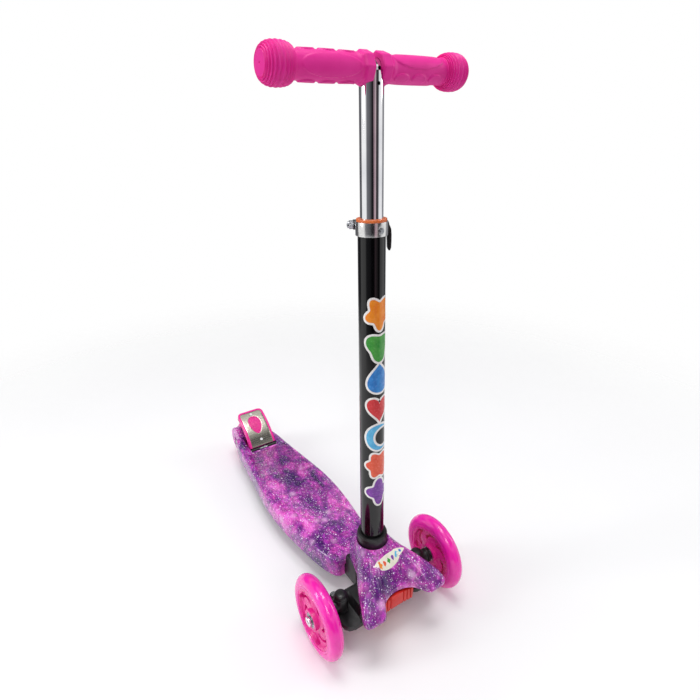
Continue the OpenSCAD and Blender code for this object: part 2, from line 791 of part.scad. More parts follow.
module tie_rod() {
  bottom = rod_top - rod_t;
  color(black) at_stem() difference() {
    union() {
      block(rod_x - 4.5, rod_x + 4.5, -kingpin_y, kingpin_y, bottom, rod_top);
      for (s = [-1, 1]) rod_z(6.5, bottom, rod_top, rod_x, s * kingpin_y);
      rod_z(7.5, bottom, rod_top, rod_x);
    }
    rod_z(4.2, bottom - 1, rod_top + 1, rod_x);
    rod_z(3 + fit_gap, bottom - 1, rod_top + 1, rod_x, kingpin_y);
    rod_z(3.4, bottom - 1, rod_top + 1, rod_x, -kingpin_y);
  }
}

module knuckle() {
  color(black) difference() {
    union() {
      rod_z(11, knuckle_bottom, knuckle_top, axle_ahead, kingpin_y);
      rod_y(9, kingpin_y, boss_end, axle_ahead, axle_z);
      rod_y(11, boss_end - 6, boss_end - 1.5, axle_ahead, axle_z);
      block(rod_x, axle_ahead, kingpin_y - 6, kingpin_y + 6, rod_top + swing_gap, rod_top + 7);
      rod_z(6, rod_top + swing_gap, rod_top + 7, rod_x, kingpin_y);
    }
    rod_z(kingpin_r + fit_gap, 0, 200, axle_ahead, kingpin_y);
    rod_z(3 + seat_gap, 0, 200, rod_x, kingpin_y);
    rod_y(axle_r + seat_gap, kingpin_y + kingpin_r + 3, boss_end + 1, axle_ahead, axle_z);
  }
}

module axle_bolt() {
  hub_end = wheel_y + front_hub_w / 2;
  color(chrome) difference() {
    union() {
      rod_y(axle_r, kingpin_y + kingpin_r + 4, hub_end + 1, axle_ahead, axle_z);
      rod_y(axle_r + 2.8, hub_end + 0.5, hub_end + 4.5, axle_ahead, axle_z);
    }
    translate([axle_ahead, hub_end + 6, axle_z]) rotate([90, 0, 0]) cylinder(r = 2.9, h = 4, $fn = 6);
  }
}

module axle_washer() {
  color(steel) difference() {
    rod_y(axle_r + 3.5, boss_end + seat_gap, boss_end + 1.3, axle_ahead, axle_z);
    rod_y(axle_r + seat_gap, 0, 200, axle_ahead, axle_z);
  }
}

module tie_pin() {
  color(steel) {
    rod_z(3, rod_top - rod_t - 1, rod_top + 8, rod_x, kingpin_y);
    rod_z(4.6, rod_top - rod_t - 3, rod_top - rod_t - part_gap, rod_x, kingpin_y);
    rod_z(4.6, rod_top + 7 + seat_gap, rod_top + 9, rod_x, kingpin_y);
  }
}

module knuckle_left() { at_stem() knuckle(); }
module knuckle_right() { at_stem() mirror([0, 1, 0]) knuckle(); }
module axle_bolt_left() { at_stem() axle_bolt(); }
module axle_bolt_right() { at_stem() mirror([0, 1, 0]) axle_bolt(); }
module axle_washer_left() { at_stem() axle_washer(); }
module axle_washer_right() { at_stem() mirror([0, 1, 0]) axle_washer(); }
module tie_pin_left() { at_stem() tie_pin(); }
module tie_pin_right() { at_stem() mirror([0, 1, 0]) tie_pin(); }

// ---- wheels, each built about its own axis, then laid on +Y ----

module lay_wheel(x, y, z) {
  at_stem() translate([x, y, z]) rotate([-90, 0, 0]) children();
}

module front_tyre() {
  crown = front_tyre_w / 2;
  seat = front_core_d / 2 + seat_gap;
  color(pink) rotate_extrude($fn = 96) {
    intersection() {
      union() {
        translate([front_r - crown, 0]) circle(r = crown);
        translate([seat, -crown]) square([front_r - crown - seat, 2 * crown]);
      }
      translate([seat, -crown]) square([front_r, 2 * crown]);
    }
  }
}

// One opening: a drop that curls with the wheel, from a thin inner end to a round outer end
module comma_window() {
  inner = front_core_d / 2 * 0.5;
  reach = front_core_d / 2 * 0.3;
  spine = [for (t = [0:0.125:1]) [inner + reach * t, 44 * t * t, 2 + 4.2 * t]];
  side = function (s) [for (p = spine) let (a = p[1] + s * atan(p[2] / p[0])) p[0] * [cos(a), sin(a)]];
  tip = spine[len(spine) - 1];
  cap = [for (a = [30:30:150]) tip[0] * [cos(tip[1]), sin(tip[1])]
    + tip[2] * [cos(tip[1] + 90 - a), -sin(a - 90 - tip[1])]];
  up = side(1);
  polygon(concat(side(-1), [for (i = [len(cap) - 1:-1:0]) cap[i]], [for (i = [len(up) - 1:-1:0]) up[i]]));
}

module front_core() {
  hub = front_hub_w / 2;
  seat = front_core_d / 2;
  color(core_pink) difference() {
    rotate_extrude($fn = 96) polygon([
      [bearing_r + seat_gap, -hub], [bearing_r + 4, -hub], [bearing_r + 4, -7], [seat - 6, -6], [seat - 4, -10],
      [seat, -10], [seat, 10], [seat - 4, 10], [seat - 6, 6], [bearing_r + 4, 7], [bearing_r + 4, hub],
      [bearing_r + seat_gap, hub], [bearing_r + seat_gap, hub - bearing_w - 0.5],
      [bearing_r - 2, hub - bearing_w - 0.5], [bearing_r - 2, -hub + bearing_w + 0.5],
      [bearing_r + seat_gap, -hub + bearing_w + 0.5]
    ]);
    for (i = [0:core_windows - 1]) rotate([0, 0, i * 360 / core_windows])
      translate([0, 0, -15]) linear_extrude(30) comma_window();
  }
}

// A pair of bearings whose outer faces stand half apart each way, with the races and the shield stepped
module bearing_pair(half) {
  color(steel) for (s = [-1, 1]) translate([0, 0, s * (half - bearing_w / 2)]) rotate_extrude() {
    translate([axle_r + fit_gap, -bearing_w / 2]) square([2.3, bearing_w]);
    translate([axle_r + 2, -bearing_w / 2 + 0.5]) square([bearing_r - axle_r - 4, bearing_w - 1]);
    translate([bearing_r - 2.2, -bearing_w / 2]) square([2.2, bearing_w]);
  }
}

module spacer_tube(half) {
  color(steel) difference() {
    translate([0, 0, -half]) cylinder(r = axle_r + 2, h = 2 * half);
    translate([0, 0, -half - 1]) cylinder(r = axle_r + fit_gap, h = 2 * half + 2);
  }
}

front_bearing_half = front_hub_w / 2 - 0.4;
front_spacer_half = front_bearing_half - bearing_w - seat_gap;

module tyre_left() { lay_wheel(axle_ahead, wheel_y, axle_z) front_tyre(); }
module tyre_right() { lay_wheel(axle_ahead, -wheel_y, axle_z) front_tyre(); }
module wheel_core_left() { lay_wheel(axle_ahead, wheel_y, axle_z) front_core(); }
module wheel_core_right() { lay_wheel(axle_ahead, -wheel_y, axle_z) rotate([0, 180, 0]) front_core(); }
module bearings_left() { lay_wheel(axle_ahead, wheel_y, axle_z) bearing_pair(front_bearing_half); }
module bearings_right() { lay_wheel(axle_ahead, -wheel_y, axle_z) bearing_pair(front_bearing_half); }
module spacer_left() { lay_wheel(axle_ahead, wheel_y, axle_z) spacer_tube(front_spacer_half); }
module spacer_right() { lay_wheel(axle_ahead, -wheel_y, axle_z) spacer_tube(front_spacer_half); }

module rear_tyre() {
  half = rear_tyre_w / 2;
  seat = rear_core_d / 2 + seat_gap;
  shoulder = 8;
  color(pink) lay_wheel(rear_axle_x, 0, rear_r) rotate_extrude($fn = 96) intersection() {
    union() {
      for (s = [-1, 1]) translate([rear_r - shoulder, s * (half - shoulder)]) circle(r = shoulder);
      translate([seat, -half]) square([rear_r - shoulder - seat, 2 * half]);
      translate([seat, -half + shoulder]) square([rear_r - seat, 2 * (half - shoulder)]);
    }
    translate([seat, -half]) square([rear_r, 2 * half]);
  }
}

module rear_core() {
  half = rear_tyre_w / 2;
  seat = rear_core_d / 2;
  color(core_pink) lay_wheel(rear_axle_x, 0, rear_r) rotate_extrude($fn = 96) polygon([
    [bearing_r + seat_gap, -half], [bearing_r + 3.5, -half], [bearing_r + 5, -half + 4], [seat - 4, -half + 4],
    [seat - 3, -half + 1], [seat, -half + 1], [seat, half - 1], [seat - 3, half - 1], [seat - 4, half - 4],
    [bearing_r + 5, half - 4], [bearing_r + 3.5, half], [bearing_r + seat_gap, half],
    [bearing_r + seat_gap, half - bearing_w - 0.5], [bearing_r - 2, half - bearing_w - 0.5],
    [bearing_r - 2, -half + bearing_w + 0.5], [bearing_r + seat_gap, -half + bearing_w + 0.5]
  ]);
}

rear_bearing_half = rear_tyre_w / 2 - 0.3;

module rear_bearings() { lay_wheel(rear_axle_x, 0, rear_r) bearing_pair(rear_bearing_half); }
module rear_spacer() { lay_wheel(rear_axle_x, 0, rear_r) spacer_tube(rear_bearing_half - bearing_w - seat_gap); }

module rear_axle() {
  floor_y = pocket_half + ear_t - 3;
  color(steel) at_stem() {
    rod_y(axle_r, -floor_y - 0.5, floor_y + 0.5, rear_axle_x, rear_r);
    both_sides() rod_y(axle_r + 0.7, floor_y + seat_gap, floor_y + 2.4, rear_axle_x, rear_r);
  }
}

module rear_washers() {
  color(steel) at_stem() both_sides() difference() {
    rod_y(axle_r + 2.5, rear_bearing_half + 0.1, pocket_half - seat_gap, rear_axle_x, rear_r);
    rod_y(axle_r + fit_gap, 0, 90, rear_axle_x, rear_r);
  }
}

// ---- brake ----

// A stretch of the brake's arc, between two radii and two angles
module brake_arc(r0, r1, a0, a1) {
  step = (a1 - a0) / 16;
  polygon(concat(
    [for (k = [0:16]) [brake_cx, brake_cz] + r1 * [cos(a0 + k * step), sin(a0 + k * step)]],
    [for (k = [16:-1:0]) [brake_cx, brake_cz] + r0 * [cos(a0 + k * step), sin(a0 + k * step)]]
  ));
}

// Anything drawn flat in (along the arc, across the pedal) stands through the pedal at brake_mid
module through_pedal(h) {
  translate([brake_cx, 0, brake_cz]) rotate([0, 90 - brake_mid, 0]) translate([0, 0, brake_r - h / 2])
    linear_extrude(h) children();
}

module rounded_rect(len_x, len_y, r) {
  for (x = [-1, 1], y = [-1, 1]) translate([x * (len_x / 2 - r), y * (len_y / 2 - r)]) circle(r = r);
  square([len_x - 2 * r, len_y], center = true);
  square([len_x, len_y - 2 * r], center = true);
}

module oval_hole(len_x, len_y) {
  bulge = (len_x * len_x / len_y + len_y) / 4;
  intersection() {
    translate([0, bulge - len_y / 2]) circle(r = bulge);
    translate([0, len_y / 2 - bulge]) circle(r = bulge);
  }
}

pedal_run = 2 * brake_r * sin((brake_to - brake_from) / 2);
plate_rim = 4.5;
oval_len = 46;
oval_w = 27;
rivet_run = 32;

module brake_pedal() {
  half = brake_w / 2;
  rim = brake_plate_t + 0.5;
  color(pink) at_stem() difference() {
    union() {
      intersection() {
        side_view(-half, half) brake_arc(brake_r - brake_t, brake_r, brake_from, brake_to);
        through_pedal(60) translate([-8, 0]) rounded_rect(pedal_run + 16, brake_w, 10);
      }
      side_view(-18, 18) brake_arc(brake_r - brake_t - pad_t, brake_r - brake_t + 1, brake_from + 12, brake_to - 5);
      both_sides() rod_y(barrel_r, 9, half, pivot_x, pivot_z);
    }
    // seat of the plate, kept full under the oval so that the ribbed pad stands through it
    intersection() {
      side_view(-half + plate_rim, half - plate_rim) brake_arc(brake_r - rim, brake_r + 2, brake_from + 2.5, brake_to - 2);
      difference() {
        through_pedal(60) translate([0, 0]) square([pedal_run + 20, brake_w + 2], center = true);
        through_pedal(62) oval_hole(oval_len - 1, oval_w - 1);
      }
    }
    // cross ribs of the pad
    for (a = [brake_from + 10:2.2:brake_to - 9]) intersection() {
      side_view(-12, 12) brake_arc(brake_r - 0.9, brake_r + 2, a, a + 0.9);
      through_pedal(62) oval_hole(oval_len - 3, oval_w - 3);
    }
    rod_y(brake_pin_r + fit_gap, -60, 60, pivot_x, pivot_z);
    rod_y(barrel_r + 1.5, -8.5, 8.5, pivot_x, pivot_z);
    for (s = [-1, 1]) through_pedal(40) translate([s * rivet_run, 0]) circle(r = 1.6 + seat_gap);
  }
}

module brake_plate() {
  half = brake_w / 2 - plate_rim - 0.2;
  rim = brake_plate_t + 0.5;
  color(steel) at_stem() difference() {
    side_view(-half, half) brake_arc(brake_r - rim + 0.02, brake_r - rim + brake_plate_t, brake_from + 2.8, brake_to - 2.3);
    through_pedal(62) oval_hole(oval_len, oval_w);
    for (s = [-1, 1]) through_pedal(40) translate([s * rivet_run, 0]) circle(r = 1.6 + seat_gap);
  }
}

module brake_rivets() {
  drop = 3.9;
  color(chrome) at_stem() for (s = [-1, 1]) translate([brake_cx, 0, brake_cz]) rotate([0, 90 - brake_mid, 0])
    translate([s * rivet_run, 0, brake_r - drop]) {
      translate([0, 0, -3]) cylinder(r = 1.6, h = 3.5);
      translate([0, 0, 0.3]) cylinder(r = 3, h = 1.2);
    }
}

module brake_pin() {
  end = brake_w / 2 + 8.5;
  color(steel) at_stem() rod_y(brake_pin_r, -end, end, pivot_x, pivot_z);
}

module brake_spring() {
  color(steel) at_stem() translate([pivot_x, 0, pivot_z]) rotate([90, 0, 0]) coil(4.2, 0.8, 4, -7, 7);
}

deck_shell();
front_base();
base_bolts();
front_cover();
cover_screws();
stem_collar();
lower_tube();
stem_bolt();
clamp_ring();
clamp_bush();
clamp_block();
skewer();
skewer_nut();
cam_pin();
quick_lever();
snap_button();
button_spring();
upper_tube();
slide_bush();
crossbar();
grip_left();
grip_right();
lean_pin();
truck_beam();
spring_housing();
housing_screws();
return_springs();
kingpins();
kingpin_nuts();
tie_rod();
knuckle_left();
axle_bolt_left();
axle_washer_left();
tie_pin_left();
knuckle_right();
axle_bolt_right();
axle_washer_right();
tie_pin_right();
tyre_left();
wheel_core_left();
bearings_left();
spacer_left();
tyre_right();
wheel_core_right();
bearings_right();
spacer_right();
rear_tyre();
rear_core();
rear_bearings();
rear_spacer();
rear_axle();
rear_washers();
brake_pedal();
brake_plate();
brake_rivets();
brake_pin();
brake_spring();
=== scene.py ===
"""Three-wheeled kick scooter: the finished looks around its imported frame."""
import json
import math

import bmesh
import bpy
from mathutils import Matrix, Vector
from mathutils.bvhtree import BVHTree


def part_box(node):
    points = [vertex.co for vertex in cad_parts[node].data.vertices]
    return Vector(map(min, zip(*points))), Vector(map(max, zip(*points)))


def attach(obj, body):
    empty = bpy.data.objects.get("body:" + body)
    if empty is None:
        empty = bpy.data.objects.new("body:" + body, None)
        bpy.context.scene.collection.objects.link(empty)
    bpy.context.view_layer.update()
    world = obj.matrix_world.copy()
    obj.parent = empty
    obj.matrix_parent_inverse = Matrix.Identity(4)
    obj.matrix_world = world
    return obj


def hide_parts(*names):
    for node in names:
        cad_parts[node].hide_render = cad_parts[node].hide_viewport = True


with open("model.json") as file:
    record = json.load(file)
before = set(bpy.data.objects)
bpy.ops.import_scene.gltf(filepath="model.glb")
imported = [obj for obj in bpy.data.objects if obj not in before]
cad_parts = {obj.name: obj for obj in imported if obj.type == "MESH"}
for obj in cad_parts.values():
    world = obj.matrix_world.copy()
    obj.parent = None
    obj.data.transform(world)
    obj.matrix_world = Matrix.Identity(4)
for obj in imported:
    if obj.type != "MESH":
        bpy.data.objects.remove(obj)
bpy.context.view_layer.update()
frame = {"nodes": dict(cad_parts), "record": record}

MM = 0.001
TAU = 2 * math.pi


def in_mm(node):
    """A node's box in millimetres."""
    lo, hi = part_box(node)
    return lo / MM, hi / MM


# ---------------------------------------------------------------- places, all from the frame

tube_lo, tube_hi = in_mm("lower_tube")
STEM_X = (tube_lo.x + tube_hi.x) / 2
TUBE_R = (tube_hi.x - tube_lo.x) / 2
COVER_LO, COVER_HI = in_mm("front_cover")
GRIP_LO, GRIP_HI = in_mm("grip_left")
TYRE_LO, TYRE_HI = in_mm("tyre_left")
AXLE_X, AXLE_Z = (TYRE_LO.x + TYRE_HI.x) / 2, (TYRE_LO.z + TYRE_HI.z) / 2
WHEEL_Y = (TYRE_LO.y + TYRE_HI.y) / 2
FRONT_R = (TYRE_HI.z - TYRE_LO.z) / 2
BAR_Z = in_mm("crossbar")[1].z - 11


# ---------------------------------------------------------------- materials

def linear(hex_code):
    """sRGB hex to the linear colour that a shader socket wants."""
    parts = [int(hex_code[i:i + 2], 16) / 255 for i in (1, 3, 5)]
    return tuple(c / 12.92 if c <= 0.04045 else ((c + 0.055) / 1.055) ** 2.4 for c in parts) + (1.0,)


def add(tree, kind, settings=None, **links):
    """Adds a node. settings are its own properties, links its sockets: a value or another socket."""
    node = tree.nodes.new(kind)
    for key, value in (settings or {}).items():
        setattr(node, key, value)
    for key, value in links.items():
        at = int(key[1:]) if key[0] == "_" and key[1:].isdigit() else key.replace("_", " ")
        socket = node.inputs[at]
        if isinstance(value, bpy.types.NodeSocket):
            tree.links.new(value, socket)
        else:
            socket.default_value = value
    return node


def ramp(tree, fac, stops):
    """A colour ramp with straight runs; a stop is a hex colour or a grey level."""
    node = add(tree, "ShaderNodeValToRGB", _0=fac)
    node.color_ramp.interpolation = "LINEAR"
    while len(node.color_ramp.elements) < len(stops):
        node.color_ramp.elements.new(0.5)
    for element, (place, colour) in zip(node.color_ramp.elements, stops):
        element.position = place
        element.color = linear(colour) if isinstance(colour, str) else (colour,) * 3 + (1,)
    return node.outputs[0]


def start(name):
    """A material with its shader, and the object's own coordinates in metres."""
    mat = bpy.data.materials.new(name)
    mat.use_nodes = True
    tree = mat.node_tree
    tree.nodes.clear()
    shader = add(tree, "ShaderNodeBsdfPrincipled")
    add(tree, "ShaderNodeOutputMaterial", Surface=shader.outputs[0])
    place = add(tree, "ShaderNodeTexCoord").outputs["Object"]
    return mat, tree, shader, place


def noise(tree, place, size_mm, detail=3.0, rough=0.55, distort=0.0):
    """Noise whose lumps are about size_mm across."""
    return add(tree, "ShaderNodeTexNoise", Vector=place, Scale=1000 / size_mm, Detail=detail,
               Roughness=rough, Distortion=distort).outputs[0]


def finish_of(name, dark, light, rough, patch_mm, grain_mm, grain_um, **sockets):
    """A moulded, painted or metal surface: two tones in patches, uneven gloss and a fine grain."""
    mat, tree, shader, place = start(name)
    patches = noise(tree, place, patch_mm)
    tree.links.new(ramp(tree, patches, [(0.3, dark), (0.7, light)]), shader.inputs["Base Color"])
    gloss = add(tree, "ShaderNodeMapRange", Value=noise(tree, place, patch_mm / 3), From_Min=0.3,
                From_Max=0.7, To_Min=rough[0], To_Max=rough[1])
    tree.links.new(gloss.outputs[0], shader.inputs["Roughness"])
    bump = add(tree, "ShaderNodeBump", Height=noise(tree, place, grain_mm, 2.0), Strength=1.0,
               Distance=grain_um * 1e-6)
    tree.links.new(bump.outputs[0], shader.inputs["Normal"])
    for key, value in sockets.items():
        shader.inputs[key.replace("_", " ")].default_value = value
    return mat


def galaxy_print():
    """Polypropylene dipped in a printed nebula film under clear lacquer: cloudy purple, stars, wet gloss."""
    mat, tree, shader, place = start("galaxy_film_on_polypropylene")
    stretch = add(tree, "ShaderNodeMapping", Vector=place, Rotation=(0.2, 0.3, 0.7), Scale=(1.0, 1.45, 1.0))
    clouds = noise(tree, stretch.outputs[0], 62, 7.0, 0.62, 0.5)
    wisps = noise(tree, stretch.outputs[0], 24, 6.0, 0.66, 0.9)
    mottle = noise(tree, place, 6.5, 4.0, 0.7)
    base = ramp(tree, clouds, [(0.34, "#3d1a68"), (0.42, "#7a3592"), (0.49, "#ab4db0"), (0.57, "#cb68c2"),
                               (0.66, "#eaa0da")])
    pinks = ramp(tree, wisps, [(0.38, "#4c2078"), (0.48, "#8d3a98"), (0.57, "#c45ab0"), (0.66, "#ef8fc8"),
                               (0.76, "#fbd0ec")])
    body = add(tree, "ShaderNodeMix", {"data_type": "RGBA", "blend_type": "OVERLAY"}, _0=0.62, _6=base,
               _7=pinks).outputs[2]
    grain = ramp(tree, mottle, [(0.32, "#544562"), (0.48, "#867a8c"), (0.64, "#e2d9e6")])
    body = add(tree, "ShaderNodeMix", {"data_type": "RGBA", "blend_type": "OVERLAY"}, _0=0.55, _6=body,
               _7=grain).outputs[2]
    # stars of three sizes, each a dot in its own cell, lit by chance
    for cell_mm, dot, chance, glow in ((2.6, 0.17, 0.2, 0.9), (5.6, 0.13, 0.15, 1.0), (14.0, 0.08, 0.1, 1.0)):
        cells = add(tree, "ShaderNodeTexVoronoi", {"feature": "F1"}, Vector=place, Scale=1000 / cell_mm,
                    Randomness=1.0)
        disc = add(tree, "ShaderNodeMapRange", {"interpolation_type": "SMOOTHSTEP"},
                   Value=cells.outputs["Distance"], From_Min=dot * 1.5, From_Max=dot * 0.7,
                   To_Min=0.0, To_Max=glow)
        pick = add(tree, "ShaderNodeSeparateColor", Color=cells.outputs["Color"])
        lit = add(tree, "ShaderNodeMath", {"operation": "GREATER_THAN"}, _0=pick.outputs[0], _1=chance)
        amount = add(tree, "ShaderNodeMath", {"operation": "MULTIPLY"}, _0=disc.outputs[0], _1=lit.outputs[0])
        body = add(tree, "ShaderNodeMix", {"data_type": "RGBA"}, _0=amount.outputs[0], _6=body,
                   _7=linear("#fbeefe")).outputs[2]
    # soft white glows
    glow_cells = add(tree, "ShaderNodeTexVoronoi", {"feature": "F1"}, Vector=place, Scale=1000 / 38)
    halo = add(tree, "ShaderNodeMapRange", {"interpolation_type": "SMOOTHSTEP"},
               Value=glow_cells.outputs["Distance"], From_Min=0.27, From_Max=0.0, To_Min=0.0, To_Max=0.72)
    body = add(tree, "ShaderNodeMix", {"data_type": "RGBA"}, _0=halo.outputs[0], _6=body,
               _7=linear("#f4c9ee")).outputs[2]
    tree.links.new(body, shader.inputs["Base Color"])
    gloss = add(tree, "ShaderNodeMapRange", Value=wisps, From_Min=0.3, From_Max=0.7, To_Min=0.2, To_Max=0.3)
    tree.links.new(gloss.outputs[0], shader.inputs["Roughness"])
    peel = add(tree, "ShaderNodeBump", Height=noise(tree, place, 7.0, 1.0), Strength=1.0, Distance=0.00008)
    tree.links.new(peel.outputs[0], shader.inputs["Normal"])
    shader.inputs["Coat Weight"].default_value = 0.3
    shader.inputs["Coat Roughness"].default_value = 0.06
    return mat


def brushed(name, dark, light, rough, along, line_mm, depth_um):
    """Steel or aluminium brushed in one direction: fine parallel lines that stretch the highlight."""
    mat, tree, shader, place = start(name)
    scale = tuple(0.03 if axis == along else 1.0 for axis in "XYZ")
    turned = add(tree, "ShaderNodeMapping", Vector=place, Scale=scale)
    lines = noise(tree, turned.outputs[0], line_mm, 4.0, 0.7)
    tree.links.new(ramp(tree, lines, [(0.3, dark), (0.7, light)]), shader.inputs["Base Color"])
    gloss = add(tree, "ShaderNodeMapRange", Value=lines, From_Min=0.3, From_Max=0.7, To_Min=rough[0],
                To_Max=rough[1])
    tree.links.new(gloss.outputs[0], shader.inputs["Roughness"])
    bump = add(tree, "ShaderNodeBump", Height=lines, Strength=1.0, Distance=depth_um * 1e-6)
    tree.links.new(bump.outputs[0], shader.inputs["Normal"])
    shader.inputs["Metallic"].default_value = 1.0
    return mat


def rubber(name, dark, light):
    """Soft thermoplastic grip rubber: even matte colour with a fine sheen and a leathery grain."""
    return finish_of(name, dark, light, (0.42, 0.55), 30, 0.9, 18, Specular_IOR_Level=0.35)


GALAXY = galaxy_print()
BLACK_PP = finish_of("moulded_black_polypropylene", "#0d0d0e", "#1b1b1d", (0.3, 0.45), 25, 0.8, 12)
BLACK_PAINT = finish_of("gloss_black_powder_coat", "#030304", "#070608", (0.07, 0.12), 60, 2.4, 6,
                        Coat_Weight=0.15,
                        Coat_Roughness=0.04, Specular_IOR_Level=0.4)
CHROME = finish_of("bright_chrome_plate", "#d9dade", "#f1f1f3", (0.035, 0.075), 40, 5, 2, Metallic=1.0)
ZINC = finish_of("zinc_plated_steel", "#9c9fa4", "#c6c9cd", (0.2, 0.34), 6, 0.7, 6, Metallic=1.0)
RING = brushed("polished_aluminium", "#c9cacb", "#ecebe9", (0.12, 0.24), "X", 0.9, 2)
PLATE = brushed("brushed_stainless", "#9d9a8e", "#c9c5b8", (0.16, 0.3), "Y", 0.7, 4)
ORANGE = finish_of("moulded_orange_acetal", "#d9622a", "#f08347", (0.3, 0.42), 12, 0.7, 10)
GREY = finish_of("moulded_grey_acetal", "#2f2f31", "#454547", (0.35, 0.5), 15, 0.7, 10)
GRIP = rubber("hot_pink_grip_rubber", "#e61f93", "#f02ca0")
TYRE = finish_of("translucent_pink_polyurethane", "#ee18a6", "#fa30b8", (0.1, 0.18), 35, 3.5, 10,
                 Coat_Weight=0.3, Coat_Roughness=0.05, Subsurface_Weight=0.2, Subsurface_Scale=0.004,
                 Subsurface_Radius=(1.0, 0.1, 0.4))
CORE = finish_of("moulded_pink_nylon", "#e01a8c", "#f2329e", (0.2, 0.32), 22, 0.8, 12)
# the dish is the core's pink nylon made darker: painted shade for the hollow seen through the core's windows
SHADED_DISH_PINK = finish_of("pink_nylon_painted_shade", "#a80c48", "#c81658", (0.25, 0.36), 22, 0.8, 12)
RED = finish_of("moulded_red_polyurethane", "#c81a12", "#e2281a", (0.34, 0.46), 16, 0.8, 14)


def vinyl(name, dark, light):
    """Printed vinyl film: flat ink with a faint mottle under a soft gloss."""
    return finish_of("vinyl_" + name, dark, light, (0.2, 0.3), 9, 1.2, 4)


INKS = {
    "white": vinyl("white", "#e9e6e4", "#fbfaf8"),
    "cream": vinyl("cream", "#e6e2cf", "#f6f3e4"),
    "orange": vinyl("orange", "#ee7d17", "#f99b35"),
    "green": vinyl("green", "#2f8f35", "#56ad4b"),
    "blue": vinyl("blue", "#1f6fc0", "#3a92dc"),
    "red": vinyl("red", "#c9202a", "#e03b3f"),
    "sky": vinyl("sky", "#3fa6dc", "#6cc3ec"),
    "coral": vinyl("coral", "#e3492f", "#f06b47"),
    "violet": vinyl("violet", "#6c2b93", "#8c46b2"),
}
SLOT_FINISH = {
    "printed_plastic": GALAXY, "black_plastic": BLACK_PP, "black_paint": BLACK_PAINT, "chrome": CHROME,
    "zinc_steel": ZINC, "ring_metal": RING, "brake_steel": PLATE, "orange_plastic": ORANGE,
    "grey_plastic": GREY,
    "grip_rubber": GRIP, "wheel_tyre": TYRE, "pink_plastic": CORE, "red_plastic": RED,
}
NODE_SLOT = {part["node"]: part["material_slot"] for part in frame["record"]["subparts"]}


# ---------------------------------------------------------------- mesh helpers

def body_of(node):
    """The body that a CAD node is on."""
    return next(body for body, nodes in frame["record"]["behaviour"]["bodies"].items() if node in nodes)


def dress(obj, finish, body, slot, nodes=(), crease=35):
    """Smooth shading up to a crease, one finish, and the piece hung on its body."""
    mesh = obj.data
    mesh.materials.clear()
    mesh.materials.append(finish)
    mesh.shade_smooth()
    mesh.set_sharp_from_angle(angle=math.radians(crease))
    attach(obj, body)
    if nodes:
        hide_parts(*nodes)
    return obj


def link(name, mesh):
    """An object for a mesh, in the scene."""
    obj = bpy.data.objects.new(name, mesh)
    bpy.context.scene.collection.objects.link(obj)
    return obj


def from_points(name, points, faces):
    """A closed mesh from points in millimetres, with its doubles merged and its faces turned outwards."""
    mesh = bpy.data.meshes.new(name)
    mesh.from_pydata([Vector(p) * MM for p in points], [], faces)
    bm = bmesh.new()
    bm.from_mesh(mesh)
    bmesh.ops.remove_doubles(bm, verts=bm.verts, dist=1e-6)
    bmesh.ops.recalc_face_normals(bm, faces=bm.faces)
    bm.to_mesh(mesh)
    bm.free()
    return link(name, mesh)


def skin(rings, wrap=False):
    """Points and faces of a skin through closed rings; its two ends are fans unless it wraps round."""
    n, m = len(rings[0]), len(rings)
    points = [p for ring in rings for p in ring]
    faces = [
        (k * n + i, k * n + (i + 1) % n, (k + 1) % m * n + (i + 1) % n, (k + 1) % m * n + i)
        for k in range(m if wrap else m - 1) for i in range(n)
    ]
    if not wrap:
        for k in (0, m - 1):
            middle = sum((Vector(p) for p in rings[k]), Vector()) / n
            points.append(tuple(middle))
            faces += [(k * n + i, k * n + (i + 1) % n, len(points) - 1) for i in range(n)]
    return points, faces


def apply_modifiers(obj):
    """Leaves the piece a plain mesh."""
    shape = obj.evaluated_get(bpy.context.evaluated_depsgraph_get())
    mesh = bpy.data.meshes.new_from_object(shape)
    old = obj.data
    obj.modifiers.clear()
    obj.data = mesh
    bpy.data.meshes.remove(old)
    return obj


def bevelled(obj, width_mm, segments=2, angle=38):
    """Rounds the edges sharper than angle."""
    edge = obj.modifiers.new("edges", "BEVEL")
    edge.width = width_mm * MM
    edge.segments = segments
    edge.limit_method = "ANGLE"
    edge.angle_limit = math.radians(angle)
    edge.use_clamp_overlap = True
    return apply_modifiers(obj)


def cut(obj, cutter):
    """Takes the cutter's space out of the piece, and drops the cutter."""
    knife = obj.modifiers.new("cut", "BOOLEAN")
    knife.operation = "DIFFERENCE"
    knife.solver = "EXACT"
    knife.object = cutter
    apply_modifiers(obj)
    bpy.data.objects.remove(cutter)
    return obj


CAD_CREASE = 32  # degrees


def carried(node, bevel=0.0):
    """A CAD node's own shape, merged, with broken edges and smooth shading, standing for that node."""
    mesh = frame["nodes"][node].data.copy()
    bm = bmesh.new()
    bm.from_mesh(mesh)
    bmesh.ops.remove_doubles(bm, verts=bm.verts, dist=2e-6)
    bmesh.ops.dissolve_limit(bm, angle_limit=math.radians(0.6), verts=bm.verts, edges=bm.edges)
    bm.to_mesh(mesh)
    bm.free()
    obj = link(node + "_finished", mesh)
    if bevel:
        bevelled(obj, bevel)
    slot = NODE_SLOT[node]
    return dress(obj, SLOT_FINISH[slot], body_of(node), slot, [node], CAD_CREASE)


def lathe_y(profile, x, y, z, sides=128, radius=None):
    """Rings about a line along Y. profile holds (radius, distance along Y); radius may bend each point."""
    rings = []
    for r, along in profile:
        ring = []
        for i in range(sides):
            a = TAU * i / sides
            rr = radius(r, along, a) if radius else r
            ring.append((x + rr * math.cos(a), y + along, z + rr * math.sin(a)))
        rings.append(ring)
    return rings


def arc(cx, cy, r, start, stop, steps):
    """Points on a circle, between two angles in degrees."""
    return [(cx + r * math.cos(math.radians(start + (stop - start) * k / steps)),
             cy + r * math.sin(math.radians(start + (stop - start) * k / steps))) for k in range(steps + 1)]


